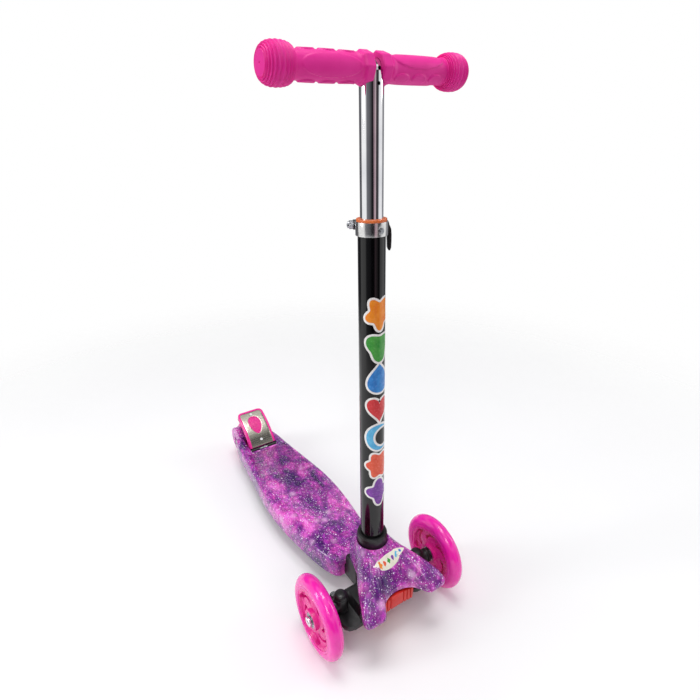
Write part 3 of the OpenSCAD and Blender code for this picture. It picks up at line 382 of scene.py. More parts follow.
def smoothstep(a, b, x):
    """Goes from 0 at a to 1 at b."""
    t = min(max((x - a) / (b - a), 0.0), 1.0)
    return t * t * (3 - 2 * t)


def spline(points, steps):
    """Catmull-Rom through points of any width."""
    out = []
    last = len(points) - 1
    for i in range(last):
        a, b, c, d = (points[max(i - 1, 0)], points[i], points[i + 1], points[min(i + 2, last)])
        for k in range(steps):
            t = k / steps
            out.append(tuple(0.5 * (2 * q + (r - p) * t + (2 * p - 5 * q + 4 * r - s) * t * t
                                    + (3 * q - p - 3 * r + s) * t ** 3) for p, q, r, s in zip(a, b, c, d)))
    out.append(tuple(points[-1]))
    return out


def inset(outline, d):
    """A closed outline moved inwards along its own normals."""
    out, n = [], len(outline)
    for i in range(n):
        a, b = Vector(outline[i - 1]), Vector(outline[(i + 1) % n])
        run = (b - a).normalized()
        out.append((outline[i][0] - d * run.y, outline[i][1] + d * run.x))
    return out


WHOLE = 500  # mm, a step longer than any piece, which leaves that way unsliced
UNCUT = (WHOLE, WHOLE)


def flat_solid(name, outline, holes, low, high, step, place):
    """A flat outline with holes made thick, sliced every step both ways, then laid by place(u, v, t)."""
    bm = bmesh.new()
    edges = []
    for loop in [outline] + list(holes):
        verts = [bm.verts.new((u, v, low)) for u, v in loop]
        edges += [bm.edges.new((verts[i], verts[(i + 1) % len(verts)])) for i in range(len(verts))]
    bmesh.ops.triangle_fill(bm, use_beauty=True, use_dissolve=False, edges=edges)
    raised = bmesh.ops.extrude_face_region(bm, geom=list(bm.faces), use_keep_orig=True)
    lifted = [g for g in raised["geom"] if isinstance(g, bmesh.types.BMVert)]
    bmesh.ops.translate(bm, vec=(0, 0, high - low), verts=lifted)
    us = [u for u, v in outline]
    vs = [v for u, v in outline]
    for axis, (lowest, highest) in enumerate(((min(us), max(us)), (min(vs), max(vs)))):
        normal = (1, 0, 0) if axis == 0 else (0, 1, 0)
        for k in range(1, int((highest - lowest) / step[axis]) + 1):
            at = lowest + k * step[axis] - step[axis] / 2
            bmesh.ops.bisect_plane(bm, geom=bm.verts[:] + bm.edges[:] + bm.faces[:], dist=1e-5,
                                   plane_co=tuple(at * c for c in normal), plane_no=normal)
    for vert in bm.verts:
        vert.co = Vector(place(*vert.co)) * MM
    bmesh.ops.remove_doubles(bm, verts=bm.verts, dist=1e-7)
    bmesh.ops.triangulate(bm, faces=bm.faces)
    bmesh.ops.recalc_face_normals(bm, faces=bm.faces)
    mesh = bpy.data.meshes.new(name)
    bm.to_mesh(mesh)
    bm.free()
    return link(name, mesh)


# ---------------------------------------------------------------- grips

FLANGE = 12
GRIP_START = GRIP_LO.y
GRIP_LEN = GRIP_HI.y - GRIP_LO.y
KNOB_R = (GRIP_HI.z - GRIP_LO.z) / 2
KNOB_HALF = 16.8
KNOB_DISC = 12
BODY_R = 15.5
BORE_R = 11.05
PAD_MID = FLANGE + 41


def octagon(r, a, turn):
    """Radius of an eight-sided flange with softened corners."""
    part = (a - turn) % (TAU / 8) - TAU / 16
    return min(r * math.cos(TAU / 16) / math.cos(part), r * 0.985)


def pad_height(along, a, face):
    """Raised palm ovals on two opposite sides, and three crescent finger bumps on the two sides between."""
    h = 0.0
    for turn in (face, face + math.pi):
        off = (a - turn + math.pi) % TAU - math.pi
        d = math.hypot((along - PAD_MID) / 37, off / 0.86)
        edge = 0.55 + 0.45 * smoothstep(0.1, -0.7, off)
        h += 1.25 * edge * smoothstep(1.02, 0.95, d)
    for turn in (face + math.pi / 2, face - math.pi / 2):
        off = (a - turn + math.pi) % TAU - math.pi
        for middle in (-25, 0, 25):
            d = math.hypot((along - PAD_MID - middle) / 11, off / 0.42)
            h += 1.5 * smoothstep(1.04, 0.84, d)
    return h


def grip_profile():
    """Radius and distance from the inner end: bore, flange, body, ridged knob and its end."""
    knob_mid = GRIP_LEN - KNOB_HALF
    line = [(0.0001, GRIP_LEN - 10), (BORE_R, GRIP_LEN - 10), (BORE_R, 0.6), (BORE_R + 0.6, 0), (17.6, 0),
            (19, 1.2), (19, FLANGE - 1.4), (18.3, FLANGE - 0.4), (17.4, FLANGE + 0.4)]
    steps = 90
    for k in range(steps + 1):
        along = FLANGE + 1.2 + (knob_mid - KNOB_HALF - 1.6 - FLANGE) * k / steps
        cone = 1.9 * smoothstep(FLANGE + 9, FLANGE, along)
        swell = 0.6 * math.sin(math.pi * min(max((along - FLANGE) / 84, 0), 1))
        line.append((BODY_R - 0.7 + cone + swell, along))
    ridges, fine = 6, 10
    for side in (-1, 1):
        foot = BODY_R if side < 0 else KNOB_DISC
        run = range(ridges * fine, 0, -1) if side < 0 else range(0, ridges * fine + 1)
        for k in run:
            phi = math.pi / 2 * k / (ridges * fine) * 0.98
            ridge = 0.75 * (1 - math.cos(TAU * k / fine))
            r = foot + (KNOB_R - foot) * math.cos(phi)
            along = knob_mid + side * KNOB_HALF * math.sin(phi) ** (1 / 1.2)
            line.append((r - ridge * math.cos(phi), along - side * ridge * math.sin(phi)))
    line += [(KNOB_DISC - 0.3, GRIP_LEN), (1.6, GRIP_LEN), (1.0, GRIP_LEN - 0.9), (0.0001, GRIP_LEN - 1.1)]
    return line


def make_grip(node, side, face):
    """One grip; face is the way round that its palm oval looks."""
    def shape(r, along, a):
        along = abs(along) - GRIP_START
        if r < BORE_R + 1:
            return r
        if along < FLANGE + 0.5:
            return octagon(r, a, face)
        if along < GRIP_LEN - 2 * KNOB_HALF - 1:
            flat = smoothstep(FLANGE + 5, FLANGE + 0.5, along)
            return r + pad_height(along, a, face) + (octagon(r, a, face) - r) * flat
        return r
    profile = [(r, side * (GRIP_START + along)) for r, along in grip_profile()]
    points, faces = skin(lathe_y(profile, STEM_X, 0, BAR_Z, 120, shape))
    obj = from_points(node + "_finished", points, faces)
    tube = [[(STEM_X + 14.6 * math.cos(TAU * i / 64), 14.6 * math.sin(TAU * i / 64), z) for i in range(64)]
            for z in (BAR_Z - 34, BAR_Z - 2)]
    cutter = from_points("tube_saddle", *skin(tube))
    cut(obj, cutter)
    return dress(obj, GRIP, "handlebar", "grip_rubber", [node], 28)


make_grip("grip_right", -1, 0.0)
make_grip("grip_left", 1, math.radians(48))


# ---------------------------------------------------------------- front cover

COVER_FORM = [
    (-62, 7, 30), (-59, 16, 30), (-51, 22, 29), (-35, 26, 27), (-17, 32, 24), (1, 43, 28), (21, 54, 33),
    (41, 64, 36), (57, 71, 40), (66, 71, 43), (69.5, 66, 45), (70, 54, 46), (70, 43, 47),
    (65, 37, 47), (55, 31, 46), (47, 24, 45), (42, 14, 44), (40, 5, 43),
]
COVER_WALL = 3
COVER_HOLE = 21.9
ARM_END = (68, 56)


def cover_outline():
    """The shell's edge in plan, each point with its fall below the top."""
    reach = COVER_HI.x - AXLE_X
    half = [(AXLE_X - STEM_X + min(p[0], reach), p[1], p[2]) for p in spline(COVER_FORM, 6)]
    return half + [(x, -y, z) for x, y, z in reversed(half)]


def cover_ridge(x, y):
    """Two soft crests that run from the stem out to the arms' corners, and a dished middle between them."""
    top = 0.0
    ex = AXLE_X - STEM_X + ARM_END[0]
    for ey in (ARM_END[1] - 14, ARM_END[1] + 8):
        length = math.hypot(ex - 14, ey - 12)
        ux, uy = (ex - 14) / length, (ey - 12) / length
        along = (x - 14) * ux + (abs(y) - 12) * uy
        away = abs((x - 14) * uy - (abs(y) - 12) * ux)
        fade = smoothstep(24, 44, along) * smoothstep(length + 4, length - 12, along)
        top += 1.8 * fade * math.exp(-(away / 2.8) ** 2)
    return top


def cover_rings(depth, levels):
    """Rings from the stem hole (0) to the edge (1), on a skin depth mm inside."""
    form = cover_outline()
    plan = inset([(x, y) for x, y, z in form], -depth)
    rings = []
    for t in levels:
        ring = []
        for (x, y), (_, _, fall_mm) in zip(plan, form):
            turn = math.atan2(y, x)
            hole = COVER_HOLE + COVER_WALL - depth
            spread, fall = t ** 0.8, 0.72 * t ** 1.25 + 0.28 * t
            px = hole * math.cos(turn) * (1 - spread) + x * spread
            py = hole * math.sin(turn) * (1 - spread) + y * spread
            z = COVER_HI.z - depth - fall * fall_mm
            lift = cover_ridge(px, py) if depth == 0 else 0.0
            ring.append((STEM_X + px, py, z + lift - 0.9 * (depth == 0) * smoothstep(0.9, 1.0, t)))
        rings.append(ring)
    return rings


def make_cover():
    """A closed shell: outer skin, rounded rim, skirt and inner skin."""
    form = cover_outline()
    steps = 30
    outer = cover_rings(0, [1 - k / steps for k in range(steps + 1)])
    inner = cover_rings(COVER_WALL, [k / 12 for k in range(13)])
    skirt = COVER_LO.z
    edge = []
    for depth, z in ((COVER_WALL, skirt), (0.6, skirt), (0, skirt + 0.6), (0, skirt + 4)):
        edge.append([(STEM_X + x, y, z) for x, y in inset([(x, y) for x, y, z in form], -depth)])
    rounded = []
    for k in range(4):
        a = math.radians(90 * k / 4)
        plan = inset([(x, y) for x, y, z in form], -1.6 * (1 - math.cos(a)))
        rounded.append([(STEM_X + x, y, COVER_HI.z - fall_mm - 2.8 + 2.0 * math.sin(a))
                        for (x, y), (_, _, fall_mm) in zip(plan, form)])
    # the rounded rim stands in for the outer skin's last two rings
    points, faces = skin(edge + rounded + outer[2:] + inner, wrap=True)
    obj = from_points("front_cover_finished", points, faces)
    return dress(obj, GALAXY, "deck", "printed_plastic", ["front_cover"], 40)


COVER = make_cover()


# ---------------------------------------------------------------- wheels

def make_tyre(node, side, body):
    """A poured tyre: round crown, and flat flanks with a bead lip beside the core."""
    half, seat = (TYRE_HI.y - TYRE_LO.y) / 2, 43.02
    mid = FRONT_R - half
    crown = arc(mid, 0, half, -90, 90, 40)
    profile = [(seat, -half + 0.8), (seat + 0.8, -half), (seat + 2.6, -half), (seat + 3.2, -half + 0.6),
               (seat + 3.8, -half)] + crown
    profile += [(seat + 3.8, half), (seat + 3.2, half - 0.6), (seat + 2.6, half), (seat + 0.8, half),
                (seat, half - 0.8)]
    points, faces = skin(lathe_y(profile, AXLE_X, side * WHEEL_Y, AXLE_Z, 160), wrap=True)
    obj = from_points(node + "_finished", points, faces)
    return dress(obj, TYRE, body, "wheel_tyre", [node], 30)


make_tyre("tyre_left", 1, "wheel_left")
make_tyre("tyre_right", -1, "wheel_right")


def tree_ribs(name, count, inner, outer, width, height):
    """Geometry nodes that set thin ribs like spokes round +Z, from an inner to an outer radius."""
    tree = bpy.data.node_groups.new(name, "GeometryNodeTree")
    tree.interface.new_socket("Geometry", in_out="OUTPUT", socket_type="NodeSocketGeometry")
    ids = {}
    for label, kind, value in (("Count", "NodeSocketInt", count), ("Inner radius", "NodeSocketFloat", inner),
                               ("Outer radius", "NodeSocketFloat", outer),
                               ("Width", "NodeSocketFloat", width), ("Height", "NodeSocketFloat", height),
                               ("Finish", "NodeSocketMaterial", None)):
        socket = tree.interface.new_socket(label, in_out="INPUT", socket_type=kind)
        if value is not None:
            socket.default_value = value
        ids[label] = socket.identifier
    given = add(tree, "NodeGroupInput").outputs
    run = add(tree, "ShaderNodeMath", {"operation": "SUBTRACT"}, _0=given["Outer radius"],
              _1=given["Inner radius"])
    size = add(tree, "ShaderNodeCombineXYZ", _0=run.outputs[0], _1=given["Width"], _2=given["Height"])
    rib = add(tree, "GeometryNodeMeshCube", Size=size.outputs[0])
    middle = add(tree, "ShaderNodeMath", {"operation": "MULTIPLY_ADD"}, _0=run.outputs[0], _1=0.5,
                 _2=given["Inner radius"])
    out = add(tree, "ShaderNodeCombineXYZ", _0=middle.outputs[0])
    moved = add(tree, "GeometryNodeTransform", Geometry=rib.outputs[0], Translation=out.outputs[0])
    hub = add(tree, "GeometryNodeMeshLine", {"mode": "OFFSET"}, Count=given["Count"], Offset=(0, 0, 0))
    step = add(tree, "ShaderNodeMath", {"operation": "DIVIDE"}, _0=TAU, _1=given["Count"])
    turn = add(tree, "ShaderNodeMath", {"operation": "MULTIPLY"},
               _0=add(tree, "GeometryNodeInputIndex").outputs[0], _1=step.outputs[0])
    turns = add(tree, "ShaderNodeCombineXYZ", _2=turn.outputs[0])
    spokes = add(tree, "GeometryNodeInstanceOnPoints", Points=hub.outputs[0], Instance=moved.outputs[0],
                 Rotation=turns.outputs[0])
    solid = add(tree, "GeometryNodeRealizeInstances", Geometry=spokes.outputs[0])
    painted = add(tree, "GeometryNodeSetMaterial", Geometry=solid.outputs[0], Material=given["Finish"])
    add(tree, "NodeGroupOutput", Geometry=painted.outputs[0])
    return tree, ids


def grown_piece(name, tree, ids, values, place):
    """Runs a node tree with its named values, then lays the plain mesh by place(point in metres)."""
    obj = link(name, bpy.data.meshes.new(name))
    nodes = obj.modifiers.new("nodes", "NODES")
    nodes.node_group = tree
    for label, value in values.items():
        nodes[ids[label]] = value
    apply_modifiers(obj)
    for vert in obj.data.vertices:
        vert.co = place(vert.co)
    return obj


def make_dish(side, body):
    """The closed inner side of a front core: a shallow dish with fine radial ribs on its inner face, in the
    core's pink made darker as painted shade behind the core's windows.
    """
    y = side * WHEEL_Y
    hub, rim = 15.2, 38.6
    face = -side * 4.6
    profile = [(hub, face), (rim, face - side * 1.0), (rim, face + side * 1.6), (30, face + side * 2.0),
               (hub, face + side * 2.2)]
    points, faces = skin(lathe_y(profile, AXLE_X, y, AXLE_Z, 96), wrap=True)
    obj = from_points("wheel_dish_" + body[6:], points, faces)
    dress(obj, SHADED_DISH_PINK, body, "pink_plastic")
    tree, ids = tree_ribs("dish_ribs_" + body[6:], 36, 0.0152, 0.0385, 0.0011, 0.0018)
    centre = Vector((AXLE_X, y + face - side * 0.9, AXLE_Z)) * MM
    ribs = grown_piece("wheel_dish_ribs_" + body[6:], tree, ids, {"Count": 36, "Finish": SHADED_DISH_PINK},
                       lambda p: centre + Vector((p.x, p.z, p.y if side < 0 else -p.y)))
    dress(ribs, SHADED_DISH_PINK, body, "pink_plastic")


make_dish(1, "wheel_left")
make_dish(-1, "wheel_right")


# ---------------------------------------------------------------- brake

PIN_LO, PIN_HI = in_mm("brake_pin")
ARC_X, ARC_Z = (PIN_LO.x + PIN_HI.x) / 2 - 109, (PIN_LO.z + PIN_HI.z) / 2 - 72
ARC_R = 135
ARC_FROM, ARC_TO = math.radians(36), math.radians(74.5)
ARC_MID = (ARC_FROM + ARC_TO) / 2
BRAKE_HALF = 29.5
RIM = 4.5
PLATE_SINK = 1.7
EGG_LONG, EGG_WIDE, EGG_UP = 45, 28, 5


def on_arc(u, v, t):
    """u runs up the pedal, v across it, and t stands out from its surface."""
    a = ARC_MID + u / ARC_R
    r = ARC_R + t
    return ARC_X + r * math.cos(a), v, ARC_Z + r * math.sin(a)


def pedal_outline(low, high, half, top_r, foot_r):
    """A rectangle with rounded corners, its own radius at top and foot."""
    out = []
    for cu, cv, r, a in ((high, half, top_r, 0), (low, half, foot_r, 90), (low, -half, foot_r, 180),
                         (high, -half, top_r, 270)):
        su, sv = (-1 if a in (0, 270) else 1), (-1 if a in (0, 90) else 1)
        out += arc(cu + su * r, cv + sv * r, r, a, a + 90, 8)
    return out


def egg(long, wide, up):
    """Wider towards the pedal's top end."""
    return [(up + long / 2 * math.cos(TAU * i / 64),
             wide / 2 * math.sin(TAU * i / 64) * (1 + 0.22 * math.cos(TAU * i / 64))) for i in range(64)]


def make_brake():
    """The moulded pedal, its hoop, steel plate, ribbed pad, shoe and hinge barrels; the barrels are black,
    painted shade for the dark gap under the plate.
    """
    low, high = (ARC_FROM - ARC_MID) * ARC_R + 0.4, (ARC_TO - ARC_MID) * ARC_R - 0.4
    inner = BRAKE_HALF - RIM
    hoop = ([(low, -BRAKE_HALF)] + arc(high - 11, 11 - BRAKE_HALF, 11, 270, 360, 8)
            + arc(high - 11, BRAKE_HALF - 11, 11, 0, 90, 8) + [(low, BRAKE_HALF), (low, inner)]
            + arc(high - RIM - 7, inner - 7, 7, 90, 0, 8) + arc(high - RIM - 7, 7 - inner, 7, 360, 270, 8)
            + [(low, -inner)])
    body = flat_solid("brake_pedal_finished", pedal_outline(low, high, BRAKE_HALF, 11, 2), [], -9,
                      -PLATE_SINK - 0.05, (4, WHOLE), on_arc)
    dress(bevelled(body, 1.6, 4), CORE, "brake", "pink_plastic", ["brake_pedal"])
    rim = flat_solid("brake_rim", hoop, [], -PLATE_SINK - 0.05, -0.1, (4, WHOLE), on_arc)
    dress(bevelled(rim, 0.7, 3), CORE, "brake", "pink_plastic")
    sheet = inset(pedal_outline(low + 0.4, high - RIM, inner, 7, 0.8), 0.25)
    plate = flat_solid("brake_plate_finished", sheet, [egg(EGG_LONG, EGG_WIDE, EGG_UP)], -PLATE_SINK,
                       -0.5, (2, 4), on_arc)
    dress(bevelled(plate, 0.3, 2), PLATE, "brake", "brake_steel", ["brake_plate"], 25)
    lip = flat_solid("brake_pad_edge", egg(EGG_LONG - 0.4, EGG_WIDE - 0.4, EGG_UP),
                     [egg(EGG_LONG - 3.4, EGG_WIDE - 3.4, EGG_UP)], -PLATE_SINK, -0.05, (3, WHOLE), on_arc)
    dress(bevelled(lip, 0.4, 2), CORE, "brake", "pink_plastic")
    pad = flat_solid("brake_pad_face", egg(EGG_LONG - 3.2, EGG_WIDE - 3.2, EGG_UP), [], -PLATE_SINK, -1.0,
                     (3, WHOLE), on_arc)
    dress(pad, CORE, "brake", "pink_plastic")
    for index in range(13):
        u = EGG_UP - 19.5 + 3.2 * index
        share = (u - EGG_UP) / ((EGG_LONG - 4) / 2)
        half = (EGG_WIDE - 4.4) / 2 * math.sqrt(max(1 - share * share, 0.02)) * (1 + 0.22 * share)
        bar = flat_solid(f"brake_pad_rib_{index}", pedal_outline(u - 0.7, u + 0.7, half, 0.6, 0.6), [],
                         -1.05, -0.35, UNCUT, on_arc)
        dress(bevelled(bar, 0.2, 1), CORE, "brake", "pink_plastic")
    block = flat_solid("brake_shoe", pedal_outline(low + 27, high - 11, 18, 2, 2), [], -17, -8.9,
                       (4, WHOLE), on_arc)
    dress(bevelled(block, 1.0, 2), CORE, "brake", "pink_plastic")
    px, pz = (PIN_LO.x + PIN_HI.x) / 2, (PIN_LO.z + PIN_HI.z) / 2
    for side in (-1, 1):
        barrel = [(3.05, side * 9), (4.9, side * 9), (5.3, side * 9.5), (5.3, side * (BRAKE_HALF - 0.5)),
                  (4.9, side * BRAKE_HALF), (3.05, side * BRAKE_HALF)]
        tube = from_points(f"brake_barrel_painted_shade_{'left' if side > 0 else 'right'}",
                           *skin(lathe_y(barrel, px, 0, pz, 48), wrap=True))
        # the hinge barrels wear black instead of the pedal's pink: painted shade for the dark gap at the
        # plate's lower end
        dress(tube, BLACK_PP, "brake", "black_plastic")


make_brake()


# ---------------------------------------------------------------- kingpin caps

def make_cap(side, body):
    """A moulded black cap over the kingpin's nut."""
    pin_hi = in_mm("kingpins")[1]
    x, y = AXLE_X, side * (pin_hi.y - 6.8)
    base = in_mm("kingpin_nuts")[0].z
    outline = [(10.4, base), (10.4, base + 1.2), (9.8, base + 3.4), (8.4, base + 5.3), (5.8, base + 6.4),
               (2.8, base + 6.9)]
    rings = [[(x + r * math.cos(TAU * i / 48), y + r * math.sin(TAU * i / 48), z) for i in range(48)]
             for r, z in outline]
    cap = from_points("kingpin_cap_" + body, *skin(rings))
    dress(cap, BLACK_PP, "truck", "black_plastic")


make_cap(1, "left")
make_cap(-1, "right")


# ---------------------------------------------------------------- nodes that keep their CAD shape

BEVELS = {
    "front_base": 0.8, "stem_collar": 0.8, "truck_beam": 1.0, "spring_housing": 0.5,
    "knuckle_left": 0.8, "knuckle_right": 0.8, "tie_rod": 0.5, "clamp_ring": 0.5, "clamp_block": 0.8,
    "clamp_bush": 0.4, "wheel_core_left": 0.5, "wheel_core_right": 0.5, "axle_bolt_left": 0.4,
    "axle_bolt_right": 0.4,
}
REPLACED = {"grip_left", "grip_right", "front_cover", "tyre_left", "tyre_right", "brake_pedal", "brake_plate",
            "quick_lever"}
for node in frame["nodes"]:
    if node not in REPLACED:
        carried(node, BEVELS.get(node, 0.0))


# ---------------------------------------------------------------- lever

LEVER_TURN = math.radians(62.5)  # the skewer's way round from X
CAM_LO, CAM_HI = in_mm("cam_pin")


def by_the_pin(u, v, t):
    """Out along the skewer, up, and along the cam pin, from the pin's middle."""
    middle = (CAM_LO + CAM_HI) / 2
    c, s = math.cos(LEVER_TURN), math.sin(LEVER_TURN)
    return (middle.x + u * c + t * s, middle.y + u * s - t * c, middle.z + v)


def make_lever():
    """The cam head keeps its form; its arm leaves at the outer side and stands off the tube."""
    head = carried("quick_lever", 0.0)
    cut(head, flat_solid("arm_space", [(-12, -60), (12, -60), (12, -8.2), (-12, -8.2)], [], -12, 12, UNCUT,
                         by_the_pin))
    # its root keeps inside the cam's 8 mm circle, and is slotted where the skewer lies with the lever open
    side = [(4.8, 3.8), (5.3, 4.9), (6.7, 3.2), (8.2, 0.2), (9.8, -2.8), (11.2, -6.5), (11.7, -13.0),
            (11.7, -22.0), (11.3, -30.5), (10.0, -34.0), (8.2, -34.2), (7.0, -31.0), (6.7, -20.0), (6.0, -8.6),
            (4.9, -4.6)]
    arm = flat_solid("lever_arm", side, [], -5, 5, UNCUT, by_the_pin)
    cut(arm, flat_solid("skewer_slot", [(-1, -3.8), (14, 4.7), (14, 14), (-1, 14)], [], -3.3, 3.3, UNCUT,
                        by_the_pin))
    bevelled(arm, 0.5, 2, 30)
    slot = NODE_SLOT["quick_lever"]
    dress(arm, SLOT_FINISH[slot], body_of("quick_lever"), slot)


make_lever()


# ---------------------------------------------------------------- prints

def wrap_on_tube(top):
    """Lays flat points round the lower tube."""
    def place(u, v, t):
        a = u / TUBE_R
        return (STEM_X + (TUBE_R + t) * math.cos(a), (TUBE_R + t) * math.sin(a), top + v)
    return place


def polar(count, amount, w, h, turn=0.0):
    """A bulging star, clover or flower."""
    out = []
    for i in range(120):
        a = TAU * i / 120
        r = 1 + amount * math.cos(count * (a + turn))
        out.append((w * r * math.cos(a), h * r * math.sin(a)))
    return out


def heart(w, h):
    """A heart."""
    out = []
    for i in range(120):
        a = TAU * i / 120
        out.append((w * math.sin(a) ** 3, h * (13 * math.cos(a) - 5 * math.cos(2 * a) - 2 * math.cos(3 * a)
                                               - math.cos(4 * a)) / 15))
    return out


def drop(w, h):
    """A drop, point up."""
    return [(w * math.sin(TAU * i / 120) * math.sin(TAU * i / 240) ** 1.2, h * math.cos(TAU * i / 120))
            for i in range(120)]


def moon(w, h):
    """A crescent."""
    outer = [(w * math.cos(math.radians(a)), h * math.sin(math.radians(a))) for a in range(50, 311, 4)]
    inner = [(0.30 * w + 0.78 * w * math.cos(math.radians(a)), 0.80 * h * math.sin(math.radians(a)))
             for a in range(292, 67, -4)]
    return outer + inner


def grown(outline, d):
    """The outline moved out by d, whichever way it runs."""
    area = sum(a[0] * b[1] - b[0] * a[1] for a, b in zip(outline, outline[1:] + outline[:1]))
    return inset(outline, -d if area > 0 else d)


TUBE_SHAPES = [
    ("orange", polar(5, 0.20, 17, 19, math.radians(18))),
    ("green", polar(3, 0.20, 17, 18, math.radians(90))),
    ("blue", drop(23, 21)),
    ("red", heart(18, 19)),
    ("sky", moon(19, 20)),
    ("coral", polar(6, 0.14, 17.5, 19)),
    ("violet", polar(4, 0.24, 16, 18)),
]
DECAL_TOP = 522
DECAL_PITCH = 45.5
for index, (ink, outline) in enumerate(TUBE_SHAPES):
    place = wrap_on_tube(DECAL_TOP - DECAL_PITCH * (index + 0.5))
    edge = flat_solid("tube_print_edge_" + ink, grown(outline, 3.0), [], 0.0, 0.06, (2.0, WHOLE), place)
    dress(edge, INKS["white"], "deck", "black_paint")
    fill = flat_solid("tube_print_" + ink, outline, [], 0.07, 0.13, (2.0, WHOLE), place)
    dress(fill, INKS[ink], "deck", "black_paint")


def on_cover(x0, y0, turn_deg, lift):
    """Lays flat points on the cover's skin, straight down from above."""
    tree = BVHTree.FromObject(COVER, bpy.context.evaluated_depsgraph_get())
    c, s = math.cos(math.radians(turn_deg)), math.sin(math.radians(turn_deg))

    def place(u, v, t):
        x, y = STEM_X + x0 + c * v - s * u, y0 + s * v + c * u
        hit, normal, _, _ = tree.ray_cast(Vector((x * MM, y * MM, 0.3)), Vector((0, 0, -1)))
        return tuple(hit / MM + normal * (t + lift))
    return place


def lozenge(length, width):
    """A long shape with pointed ends."""
    angles = [TAU * i / 72 for i in range(72)]
    return [(length / 2 * math.cos(a), width / 2 * math.copysign(abs(math.sin(a)) ** 1.5, math.sin(a)))
            for a in angles]


STICKER_X, STICKER_Y, STICKER_TURN = 40, 3, 4
label = flat_solid("cover_label", lozenge(58, 13), [], 0.0, 0.1, (2.0, 2.0),
                   on_cover(STICKER_X, STICKER_Y, STICKER_TURN, 0.05))
dress(label, INKS["cream"], "deck", "printed_plastic")
LABEL_SHAPES = [
    ("orange", polar(5, 0.22, 3.3, 3.3), -18), ("coral", polar(3, 0.16, 2.3, 2.4), -9.5),
    ("green", polar(4, 0.2, 2.3, 2.3), -1.5), ("violet", drop(3.0, 2.6), 6), ("sky", heart(2.8, 3.0), 13),
    ("blue", polar(6, 0.14, 2.0, 2.0), 20),
]
for ink, outline, across in LABEL_SHAPES:
    spot = flat_solid("cover_label_" + ink, [(u + across, v) for u, v in outline], [], 0.12, 0.2, (2.0, 2.0),
                      on_cover(STICKER_X, STICKER_Y, STICKER_TURN, 0.05))
    dress(spot, INKS[ink], "deck", "printed_plastic")


# ---------------------------------------------------------------- floor, light and camera

WORLD_LIGHT = 1.0


FLOOR_HALF = 2
FLOOR_FADE = (0.55, 1.5)  # metres from the middle


def make_floor():
    """A matt white sheet under the wheels."""
    floor = bpy.data.meshes.new("studio_floor")
    corners = [(x * FLOOR_HALF, y * FLOOR_HALF, 0) for x, y in ((-1, -1), (1, -1), (1, 1), (-1, 1))]
    floor.from_pydata(corners, [], [(0, 1, 2, 3)])
    obj = link("studio_floor", floor)
    mat = finish_of("matt_white_floor", "#f6f6f7", "#fafafb", (0.7, 0.8), 900, 30, 20)
    # the sheet thins out to nothing away from the scooter, so the studio has no edge or horizon
    tree = mat.node_tree
    shader = next(n for n in tree.nodes if n.type == "BSDF_PRINCIPLED")
    out = next(n for n in tree.nodes if n.type == "OUTPUT_MATERIAL")
    spot = add(tree, "ShaderNodeVectorMath", {"operation": "LENGTH"},
               _0=add(tree, "ShaderNodeTexCoord").outputs["Object"])
    fade = add(tree, "ShaderNodeMapRange", {"interpolation_type": "SMOOTHSTEP"}, Value=spot.outputs["Value"],
               From_Min=FLOOR_FADE[0], From_Max=FLOOR_FADE[1])
    # and it lets the underside be seen from below
    below = add(tree, "ShaderNodeNewGeometry").outputs["Backfacing"]
    unseen = add(tree, "ShaderNodeMath", {"operation": "MAXIMUM"}, _0=fade.outputs[0], _1=below)
    clear = add(tree, "ShaderNodeBsdfTransparent")
    mix = add(tree, "ShaderNodeMixShader", _0=unseen.outputs[0], _1=shader.outputs[0], _2=clear.outputs[0])
    tree.links.new(mix.outputs[0], out.inputs["Surface"])
    floor.materials.append(mat)


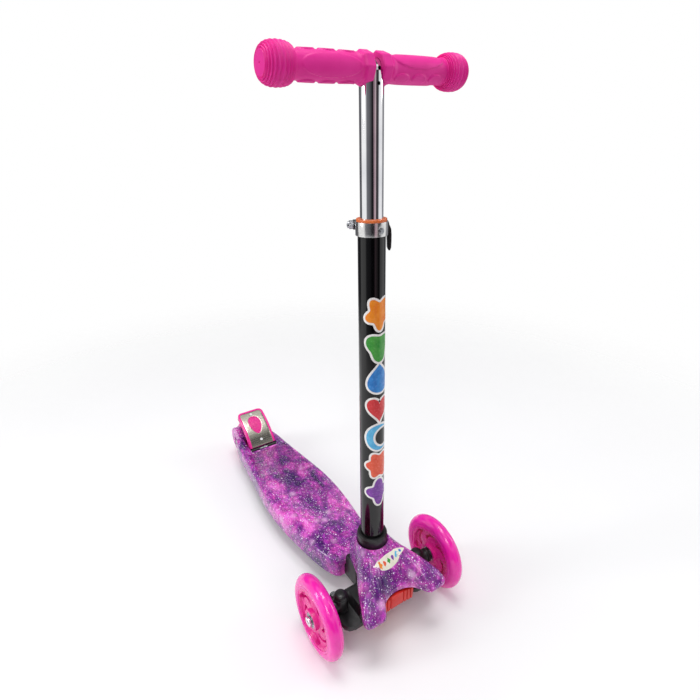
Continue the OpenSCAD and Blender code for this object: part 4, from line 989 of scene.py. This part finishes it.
def make_world():
    """Panels for the metal to mirror, and plain white for the camera."""
    world = bpy.data.worlds.new("studio")
    bpy.context.scene.world = world
    world.use_nodes = True
    tree = world.node_tree
    tree.nodes.clear()
    # bright panels and dark gaps all round, which polished metal shows as upright streaks
    way = add(tree, "ShaderNodeSeparateXYZ", Vector=add(tree, "ShaderNodeTexCoord").outputs["Generated"])
    turn = add(tree, "ShaderNodeMath", {"operation": "ARCTAN2"}, _0=way.outputs[1], _1=way.outputs[0])
    share = add(tree, "ShaderNodeMapRange", Value=turn.outputs[0], From_Min=-math.pi, From_Max=math.pi)
    panels = ramp(tree, share.outputs[0], [
        (0.00, "#6a6a6e"), (0.09, "#48484c"), (0.115, "#ffffff"), (0.25, "#ffffff"), (0.28, "#77777c"),
        (0.37, "#5a5a5e"), (0.40, "#222226"), (0.455, "#1c1a1d"), (0.475, "#c9a8b4"), (0.515, "#b4a6a9"),
        (0.535, "#3a3436"), (0.585, "#45454a"), (0.61, "#f4f4f6"), (0.71, "#ffffff"), (0.75, "#8d8d92"),
        (1.00, "#6a6a6e")])
    overhead = ramp(tree, way.outputs[2], [(0.3, 0.0), (0.5, 1.0)])
    ceiling = ramp(tree, way.outputs[2], [(0.52, "#ffffff"), (0.62, "#57575b"), (0.80, "#57575b"),
                                         (0.89, "#ffffff")])
    light = add(tree, "ShaderNodeMix", {"data_type": "RGBA"}, _0=overhead, _6=panels, _7=ceiling)
    soft = add(tree, "ShaderNodeBackground", Color=light.outputs[2], Strength=WORLD_LIGHT)
    pale = add(tree, "ShaderNodeBackground", Color=linear("#ffffff"), Strength=1.0)
    path = add(tree, "ShaderNodeLightPath")
    mix = add(tree, "ShaderNodeMixShader", _0=path.outputs["Is Camera Ray"], _1=soft.outputs[0],
              _2=pale.outputs[0])
    add(tree, "ShaderNodeOutputWorld", Surface=mix.outputs[0])
    bpy.context.scene.view_settings.view_transform = "Standard"


def make_lamps():
    """Softboxes: place and aim in metres, size in metres, power in watts."""
    for name, place, aim, size, power in (
        ("key_softbox", (1.7, -1.3, 2.3), (0.0, 0.0, 0.3), (0.9, 0.9), 16),
        ("side_softbox", (-0.6, -2.3, 1.5), (0.1, 0.0, 0.35), (0.5, 1.6), 18),
        ("far_softbox", (1.0, 2.2, 1.6), (0.1, 0.0, 0.35), (0.5, 1.6), 8),
        ("top_softbox", (0.1, 0.0, 2.7), (0.0, 0.0, 0.0), (1.2, 0.9), 22),
    ):
        data = bpy.data.lights.new(name, "AREA")
        data.shape = "RECTANGLE"
        data.size, data.size_y = size
        data.energy = power
        lamp = bpy.data.objects.new(name, data)
        lamp.location = place
        lamp.rotation_mode = "QUATERNION"
        lamp.rotation_quaternion = (Vector(aim) - Vector(place)).to_track_quat("-Z", "Y")
        bpy.context.scene.collection.objects.link(lamp)


SENSOR = 36
EYE_FROM_STEM = (0.5104, -0.3647, 0.7199)  # metres


def camera():
    """The view of the whole scooter from in front and above."""
    yaw, pitch, roll = 2.579, 0.343, -0.021
    focal, frame_px = 512.9, 700
    cam = bpy.data.cameras.new("studio_camera")
    cam.sensor_width = SENSOR
    cam.lens = focal / frame_px * SENSOR
    cam.shift_x, cam.shift_y = 0.0088, -0.0533
    cam.dof.use_dof = False
    cam.clip_start = 0.01
    ahead = Vector((math.cos(pitch) * math.cos(yaw), math.cos(pitch) * math.sin(yaw), -math.sin(pitch)))
    right = ahead.cross(Vector((0, 0, 1))).normalized()
    up = right.cross(ahead)
    c, s = math.cos(roll), math.sin(roll)
    right, up = c * right + s * up, c * up - s * right
    turn = Matrix((right, up, -ahead)).transposed()
    obj = bpy.data.objects.new("studio_camera", cam)
    obj.matrix_world = Matrix.Translation(Vector(EYE_FROM_STEM) + Vector((STEM_X * MM, 0, 0))) @ turn.to_4x4()
    bpy.context.scene.collection.objects.link(obj)
    bpy.context.scene.camera = obj


make_floor()
make_world()
make_lamps()
camera()
